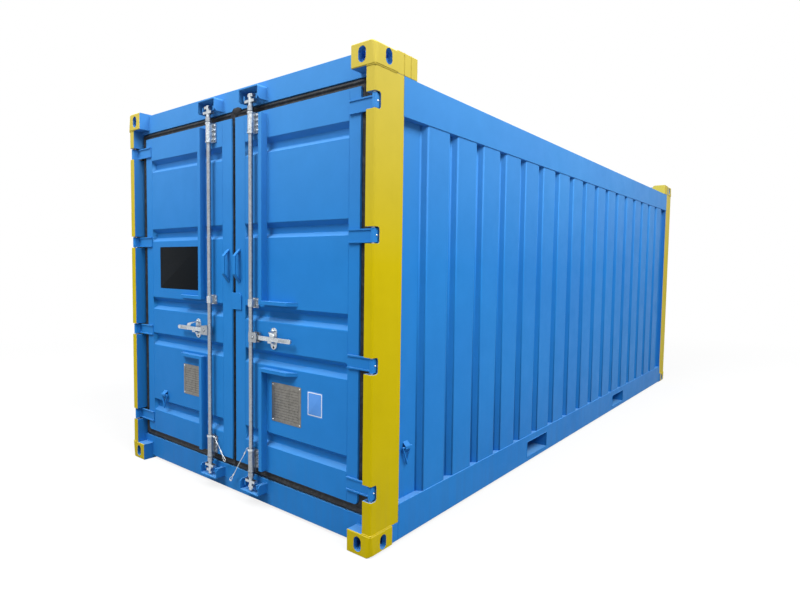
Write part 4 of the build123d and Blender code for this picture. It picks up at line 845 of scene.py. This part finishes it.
class CONTAINER_OT_seals(bpy.types.Operator):
    """Run the rubber seals round both leaves, with the flaps at the top of the joint."""
    bl_idname = "container.seals"
    bl_label = "Door seals"

    def execute(self, context):
        for side, sign, door in SIDES:
            frame = seal_frame(sign, PLATE_NOTCH if side == "left" else None)
            shell(side + "_seal", [frame], RUBBER, door, (side + "_gasket",), 50.0)
        for side, (depth, outline) in FLAPS.items():
            across, up = np.array(outline, float).T
            middle = across.mean(), up.mean()
            rings = [spot(depth + back, middle[0] + share * (across - middle[0]), middle[1] + share * (up - middle[1]))
                     for back, share in ((14, 1.0), (3, 1.0), (0.8, 0.97), (0, 0.9))]
            shell(side + "_seal_flap", [lofted(np.array(rings))], RUBBER, side + "_door", crisp=50.0)
        return {"FINISHED"}


class CONTAINER_OT_hinges(bpy.types.Operator):
    """Round the hinges and set a grease nipple in each knuckle."""
    bl_idname = "container.hinges"
    bl_label = "Hinges"

    def execute(self, context):
        softened("hinge_pins", 0.001, [ZINC])
        for side, sign, door in SIDES:
            softened(side + "_hinges", 0.0016)
            profile = [(0, -0.001), (0.0045, -0.001), (0.0045, 0.001), (0.0028, 0.0022), (0.0034, 0.0038),
                       (0.0018, 0.0052), (0, 0.0053)]
            nipple = turned(profile, 12, axis=(0, sign, 0))
            shell(side + "_grease_nipples", [repeated(nipple, spot(40, sign * 1203.0, HINGES))], NIPPLE, door)
        return {"FINISHED"}


class CONTAINER_OT_rods(bpy.types.Operator):
    """Round the locking rods and brackets, bolt the brackets on, and set dark balls of painted shade where their
    grease holes are.
    """
    bl_idname = "container.rods"
    bl_label = "Rods and brackets"

    def execute(self, context):
        sizes = context.scene.container_sizes
        for side, sign, door in SIDES:
            rod = softened(side + "_locking_rod", 0.001, [ZINC, FORGED])
            # The cams at both ends are forgings, and the brackets at the foot get the duller zinc, which is painted
            # shade
            paint_faces(rod, 1, lambda at, facing: (at[2] > 2.43) | (at[2] < 0.16))
            brackets = softened(side + "_rod_brackets", 0.0012, [FORGED, ZINC])
            paint_faces(brackets, 1, lambda at, facing: at[2] < 0.5)
            profile = [(0.0182, 0), (0.0215, 0), (0.0222, 0.002), (0.0222, 0.011), (0.0215, 0.013), (0.0182, 0.013)]
            collar = turned(profile, 24, spot(ROD_DEPTH, sign * ROD, 346), UPRIGHT)
            shell(side + "_lanyard_collar", [collar], ROPE, door, slot="galvanised_steel")
            places = [spot(50, sign * across, BRACKET_BOLTS) for across in (ROD - 30, ROD + 30)]
            shell(side + "_bracket_bolts", [repeated(bolt(sizes.bolt), places)], ZINC, door, crisp=28.0)
            # Painted shade: a dark rubber ball stands for the shade inside each grease hole
            round_off = np.linspace(0, np.pi, 7)
            hole_shade_ball = turned(0.0042 * np.stack([np.sin(round_off), -np.cos(round_off)], -1), 10, axis=UPRIGHT)
            places = spot(ROD_DEPTH - 12.5, sign * ROD + 12.5, (2385, 2290, 345))
            shell(side + "_grease_hole_shade", [repeated(hole_shade_ball, places)], RUBBER, door)
        for node in ("cam_keepers", "keeper_lugs"):
            softened(node, 0.0018)
        feet = [bead(spot(75, sign * across, limits), 1.2 * sizes.bead)
                for limits in KEEPERS for sign in (-1, 1) for across in (ROD - 96, ROD + 96)]
        shell("keeper_welds", feet, BLUE, "container")
        return {"FINISHED"}


def hooked_strap(sign):
    """The catch: a boss round the pin, and a strap that runs forward over the lever and hooks down before it.

    Row k of the strap's middle line is (depth, up); each ring is that line's point moved half the width to
    each side and half the thickness along the line's normal.
    """
    line = np.array([(50, 1101), (44, 1100.5), (34, 1099), (24, 1097), (16, 1095), (12.5, 1093.5), (9, 1089),
                     (6.5, 1081), (6, 1072)])
    middle = np.array([397, 399, 404, 409, 412, 414, 430, 436, 438.0])
    ahead = np.gradient(line, axis=0)
    ahead /= np.linalg.norm(ahead, axis=1)[:, None]
    normal = np.stack([-ahead[:, 1], ahead[:, 0]], -1)
    half = np.array([11, 12, 14, 16, 16, 17, 20, 21, 19.0])
    half_thick = 2.2
    flat = rounded(1.0, 1.0, 0.4, 4)
    depth = line[:, None, 0] + half_thick * flat[None, :, 1] * normal[:, None, 0]
    up = line[:, None, 1] + half_thick * flat[None, :, 1] * normal[:, None, 1]
    across = sign * (middle[:, None] + half[:, None] * flat[None, :, 0])
    boss = turned([(0, 0), (0.0105, 0), (0.0105, 0.0075), (0.009, 0.009), (0, 0.009)], 20,
                  spot(51.8, sign * RETAINER, 1101))
    return [lofted(spot(depth, across, up)), boss]


class CONTAINER_OT_handles(bpy.types.Operator):
    """Round the handles, retainers and catches, and close their rivets and pins."""
    bl_idname = "container.handles"
    bl_label = "Handles"

    def execute(self, context):
        for side, sign, door in SIDES:
            softened(side + "_handle", 0.0012, [FORGED])
            sheets = [on_door(sign * RETAINER, LEVER_UP, 55, 130, 58, 6, 27, 1.4),
                      on_door(sign * 400, 1035.5, 36, 12, 52.5, 34, 3, 1.4),
                      on_door(sign * 400, 1024.5, 24, 12, 52.5, 14, 3, 1.4)]
            shell(side + "_retainer_plate", sheets, FORGED, door, (side + "_handle_retainer",))
            # Painted shade: dark rubber discs stand for the shade inside the retainer's two holes
            hole_shade_discs = [turned([(0, 0.0), (0.0075, 0.0), (0.0075, 0.0005), (0, 0.0005)], 18,
                            spot(52, sign * RETAINER, z)) for z in (1003, 1107)]
            shell(side + "_retainer_hole_shade", hole_shade_discs, RUBBER, door, slot="")
            shell(side + "_catch_strap", hooked_strap(sign), FORGED, side + "_strap", (side + "_catch",))
            hub = spot(5, sign * HUB_RIVET, LEVER_UP)
            shell(side + "_hub_rivet", [repeated(rivet(0.0085), hub)], ZINC, side + "_rod")
            # Painted shade: a thin dark rubber ring stands for the shade round the rivet's head
            ring = turned([(0.0085, 0), (0.0112, 0), (0.0112, 0.0006), (0.0085, 0.0006)], 20, hub)
            shell(side + "_hub_rivet_shade_ring", [ring], RUBBER, side + "_rod", slot="")
            ribs = [tube(spot(14.8, sign * (at + np.array(lean)), (LEVER_UP - 8, LEVER_UP + 8)), 0.0016, 6)
                    for first, last, lean in ((482, 560, (0, 6)), (486, 556, (6, 0))) for at in range(first, last, 10)]
            shell(side + "_handle_grip", ribs, ZINC, side + "_lever")
        return {"FINISHED"}


class CONTAINER_OT_bars(bpy.types.Operator):
    """Round the guard bars and pull handles, and weld their feet to the leaves."""
    bl_idname = "container.bars"
    bl_label = "Guard bars"

    def execute(self, context):
        sizes = context.scene.container_sizes
        # Rims of the ledges: depth, across and radius of each
        rims = (((15, 15, 15, 36, 56), (305, 430, 549, 575, 600), 0.0028), (29, (305, 562), 0.0022),
                (43, (305, 580), 0.0022))
        for side, sign, door in SIDES:
            softened(side + "_guard_bars", 0.0016)
            softened(side + "_pull_handle", 0.0016)
            feet = [foot for limits in ((1256, 2380), (240, 872))
                    for foot in leaf_beads(LEAF_DEPTH, (sign * 302, sign * 333), limits, sizes.bead)]
            shell(side + "_bar_welds", feet, BLUE, door)
            edges = [tube(spot(depth, sign * np.array(across), top), radius, level=UPRIGHT)
                     for top in LEDGES for depth, across, radius in rims]
            shell(side + "_ledge_rims", edges, BLUE, door)
        return {"FINISHED"}


def data_plate(low_across, high_across, low, high):
    """An etched plate, its corner rivets, and plain ruled lines 1.3 mm wide, 16 mm apart."""
    middle, centre = (low_across + high_across) / 2, (low + high) / 2
    wide, tall = high_across - low_across, high - low
    sheet = on_door(middle, centre, wide, tall, LEAF_DEPTH, 1.6, 6, 0.5)
    inset, ruled_wide, ruled_tall, line = 11, wide - 44, tall - 42, 1.3
    corners = [spot(LEAF_DEPTH - 1.6, middle + a * (wide / 2 - inset), centre + b * (tall / 2 - inset))
               for a, b in CORNERS]
    rows = [(middle, z, ruled_wide, line) for z in np.arange(low + 24, high - 18, 16)]
    columns = [(middle + k * ruled_wide / 2, centre, line, ruled_tall) for k in (-1, -0.25, 1)]
    lines = [on_door(*box, LEAF_DEPTH - 1.5, 0.35, 0.4, 0.1) for box in rows + columns]
    return sheet, repeated(rivet(0.0045), corners), lines


class CONTAINER_OT_plates(bpy.types.Operator):
    """Fix the data plates, the plain label and the plain film patch on the leaves."""
    bl_idname = "container.plates"
    bl_label = "Plates and films"

    def execute(self, context):
        for side, box in (("right", (-634, -376, 559, 793)), ("left", (350, 588, 578, 790))):
            sheet, rivets, lines = data_plate(*box)
            shell(side + "_data_plate", [sheet], STEEL_PLATE, side + "_door")
            shell(side + "_data_plate_rivets", [rivets], NIPPLE, side + "_door")
            shell(side + "_data_plate_lines", lines, BLACK_FILM, side + "_door")
        layers = ((123, 142, 0.0, 0.4, BLUE_FILM), (113, 132, 0.3, 0.3, WHITE_FILM), (104, 123, 0.5, 0.3, BLUE_FILM))
        for k, (wide, high, lift, thick, film) in enumerate(layers):
            shell(f"label_layer_{k + 1}", [on_door(-747.5, 714, wide, high, LEAF_DEPTH - lift, thick, 5, 0.1)],
                  film, "right_door")
        shell("left_film_patch", [on_door(644.5, 1461, 491, 298, LEAF_DEPTH, 0.5, 8, 0.1)], BLACK_FILM, "left_door")
        return {"FINISHED"}


class CONTAINER_OT_tag_rings(bpy.types.Operator):
    """Round the tag rings and their saddles."""
    bl_idname = "container.tag_rings"
    bl_label = "Tag rings"

    def execute(self, context):
        for node, width in (("side_tag_saddle", 0.0014), ("door_tag_saddle", 0.0014), ("side_tag_ring", 0.0008),
                            ("door_tag_ring", 0.0008)):
            softened(node, width)
        return {"FINISHED"}


class CONTAINER_OT_welds(bpy.types.Operator):
    """Lay the beads between fittings, posts, beams, rails and fork pockets."""
    bl_idname = "container.welds"
    bl_label = "Frame welds"

    def execute(self, context):
        radius = context.scene.container_sizes.bead
        yellow, blue = [], []
        for end, sign in CORNERS:
            face, beam, edge = end * (HALF_LENGTH - 0.005), end * (HALF_LENGTH - 0.075), end * BAY_END / 1000
            post, side = sign * POST[0] / 1000, sign * POST[1] / 1000
            for up in (0.120, 2.471):
                yellow.append(bead([(face, post, up), (face, side, up)], radius, UPRIGHT))
                yellow.append(bead([(face, side, up), (end * (HALF_LENGTH - 0.170), side, up)], radius, UPRIGHT))
            blue.append(bead([(beam, sign * 1.057, 0.118), (beam, sign * 1.154, 0.118)], 1.5 * radius, UPRIGHT))
            # Upright beads: beams to fittings, posts to fittings, rails to fittings, and wall to post between them
            for along, out, low, high in ((beam, 1.057, 0.022, 0.116), (beam, 1.057, 2.476, 2.578),
                                          (beam, 1.156, 0.120, 0.169), (beam, 1.156, 2.453, 2.471),
                                          (edge, 1.2135, 0.020, 0.215), (edge, 1.2135, 2.268, 2.471),
                                          (edge, 1.2085, 0.216, 2.266)):
                blue.append(bead([(along, sign * out, low), (along, sign * out, high)], radius))
        loop = rounded(0.181, 0.0585, 0.004, 2)
        loop = np.concatenate([loop, loop[:1]])
        for sign in (-1, 1):
            for middle in (-1.025, 1.025):
                ring = np.stack([middle + loop[:, 0], np.full(len(loop), sign * 1.2138), 0.1095 + loop[:, 1]], -1)
                blue.append(bead(ring, 0.8 * radius, SIDEWAYS))
        shell("fitting_welds", yellow, YELLOW, "container")
        shell("frame_welds", blue, BLUE, "container")
        return {"FINISHED"}


class CONTAINER_OT_stage(bpy.types.Operator):
    """Make the pale floor, the soft lamps and the white surround."""
    bl_idname = "container.stage"
    bl_label = "Stage"

    def execute(self, context):
        scene = context.scene
        light = scene.container_stage
        scene.view_settings.view_transform = "Standard"
        scene.world = bpy.data.worlds.new("studio")
        tree = empty_tree(scene.world)
        soft = add(tree, "ShaderNodeBackground", {"Color": linear("f6f8fb"), "Strength": light.sky})
        white = add(tree, "ShaderNodeBackground", {"Color": linear("ffffff"), "Strength": 1.0})
        both = add(tree, "ShaderNodeMixShader", (self.seen(tree), soft, white))
        add(tree, "ShaderNodeOutputWorld", {"Surface": both}, out=None)
        self.lamp("front_lamp", (-8.0, 0.9, 8.5), (-3.03, 0.0, 1.4), (4.5, 4.5), light.front)
        self.lamp("side_lamp", (-2.2, -6.8, 8.4), (-1.5, -1.2, 1.3), (7.0, 4.0), light.side)
        self.lamp("top_lamp", (-1.5, -1.5, 9.0), (-1.5, -1.5, 0.0), (12.0, 10.0), light.top)
        self.floor()
        return {"FINISHED"}

    def seen(self, tree):
        """1 for rays from the camera, a gloss or glass, which see the white surround, and 0 for all others."""
        rays = add(tree, "ShaderNodeLightPath", out=None)
        first = add(tree, MATH, (rays.outputs["Is Camera Ray"], rays.outputs["Is Glossy Ray"]), operation="MAXIMUM")
        return add(tree, MATH, (first, rays.outputs["Is Transmission Ray"]), operation="MAXIMUM")

    def lamp(self, name, place, aim, size, power):
        """A soft rectangular lamp at a place, turned to its aim."""
        data = bpy.data.lights.new(name, "AREA")
        data.shape = "RECTANGLE"
        data.size, data.size_y = size
        data.energy = power
        thing = linked(name, data)
        thing.location = place
        thing.rotation_euler = (Vector(aim) - Vector(place)).to_track_quat("-Z", "Y").to_euler()

    def floor(self):
        """A pale matt floor, seen 82 % as the white surround up to 4 m from the middle and wholly from 9 m on."""
        material = bpy.data.materials.new("white_vinyl_floor_rolled")
        tree = empty_tree(material)
        place = add(tree, "ShaderNodeTexCoord", out="Object")
        # Rolled floor covering is a plain matt white with clouds about 300 mm wide that barely show
        cloud = add(tree, NOISE, {"Vector": place, "Scale": 3.0, "Detail": 3.0})
        tone = add(tree, MIX, {0: cloud, 6: linear("d8d8d7"), 7: linear("dededd")}, **COLOURS)
        shown = self.seen(tree)
        # The light that it throws back up is that of a grey yard, so that faces that look down stay dark
        tone = add(tree, MIX, {0: shown, 6: linear("949493"), 7: tone}, **COLOURS)
        matt = add(tree, "ShaderNodeBsdfDiffuse", {"Color": tone, "Roughness": 0.9})
        away = add(tree, "ShaderNodeVectorMath", {0: place}, out="Value", operation="LENGTH")
        share = add(tree, RANGE, (away, 4.0, 9.0, 0.82, 1.0))
        blend = add(tree, MATH, (share, shown), operation="MULTIPLY")
        glow = add(tree, "ShaderNodeEmission", {"Color": linear("ffffff"), "Strength": 1.0})
        both = add(tree, "ShaderNodeMixShader", (blend, matt, glow))
        add(tree, "ShaderNodeOutputMaterial", {"Surface": both}, out=None)
        mesh = bpy.data.meshes.new("stage_floor")
        mesh.from_pydata([(60 * a, 60 * b, -0.0005) for a, b in ((-1, -1), (1, -1), (1, 1), (-1, 1))], [],
                         [(0, 1, 2, 3)])
        mesh.materials.append(material)
        thing = linked("stage_floor", mesh)


class CONTAINER_PT_panel(bpy.types.Panel):
    """The settings, and a button for each step."""
    bl_label = "Container"
    bl_idname = "CONTAINER_PT_panel"
    bl_space_type = "VIEW_3D"
    bl_region_type = "UI"
    bl_category = "Container"

    def draw(self, context):
        scene = context.scene
        for group in (scene.container_paint, scene.container_sizes, scene.container_stage):
            for name in type(group).__annotations__:
                self.layout.prop(group, name)
        for step in STEPS:
            self.layout.operator(step.bl_idname)


STEPS = (CONTAINER_OT_camera, CONTAINER_OT_materials, CONTAINER_OT_lanyards, CONTAINER_OT_corners,
         CONTAINER_OT_frame, CONTAINER_OT_underframe, CONTAINER_OT_leaves, CONTAINER_OT_seals,
         CONTAINER_OT_hinges, CONTAINER_OT_rods, CONTAINER_OT_handles, CONTAINER_OT_bars, CONTAINER_OT_plates,
         CONTAINER_OT_tag_rings, CONTAINER_OT_welds, CONTAINER_OT_stage)
CLASSES = (PaintSettings, SizeSettings, StageSettings) + STEPS + (CONTAINER_PT_panel,)


def register():
    for one in CLASSES:
        bpy.utils.register_class(one)
    bpy.types.Scene.container_paint = PointerProperty(type=PaintSettings)
    bpy.types.Scene.container_sizes = PointerProperty(type=SizeSettings)
    bpy.types.Scene.container_stage = PointerProperty(type=StageSettings)


def unregister():
    del bpy.types.Scene.container_stage
    del bpy.types.Scene.container_sizes
    del bpy.types.Scene.container_paint
    for one in reversed(CLASSES):
        bpy.utils.unregister_class(one)


def main():
    register()
    bpy.ops.container.camera()
    bpy.ops.container.materials()
    bpy.ops.container.lanyards()
    bpy.ops.container.corners()
    bpy.ops.container.frame()
    bpy.ops.container.underframe()
    bpy.ops.container.leaves()
    bpy.ops.container.seals()
    bpy.ops.container.hinges()
    bpy.ops.container.rods()
    bpy.ops.container.handles()
    bpy.ops.container.bars()
    bpy.ops.container.plates()
    bpy.ops.container.tag_rings()
    bpy.ops.container.welds()
    bpy.ops.container.stage()


if __name__ == "__main__":
    main()
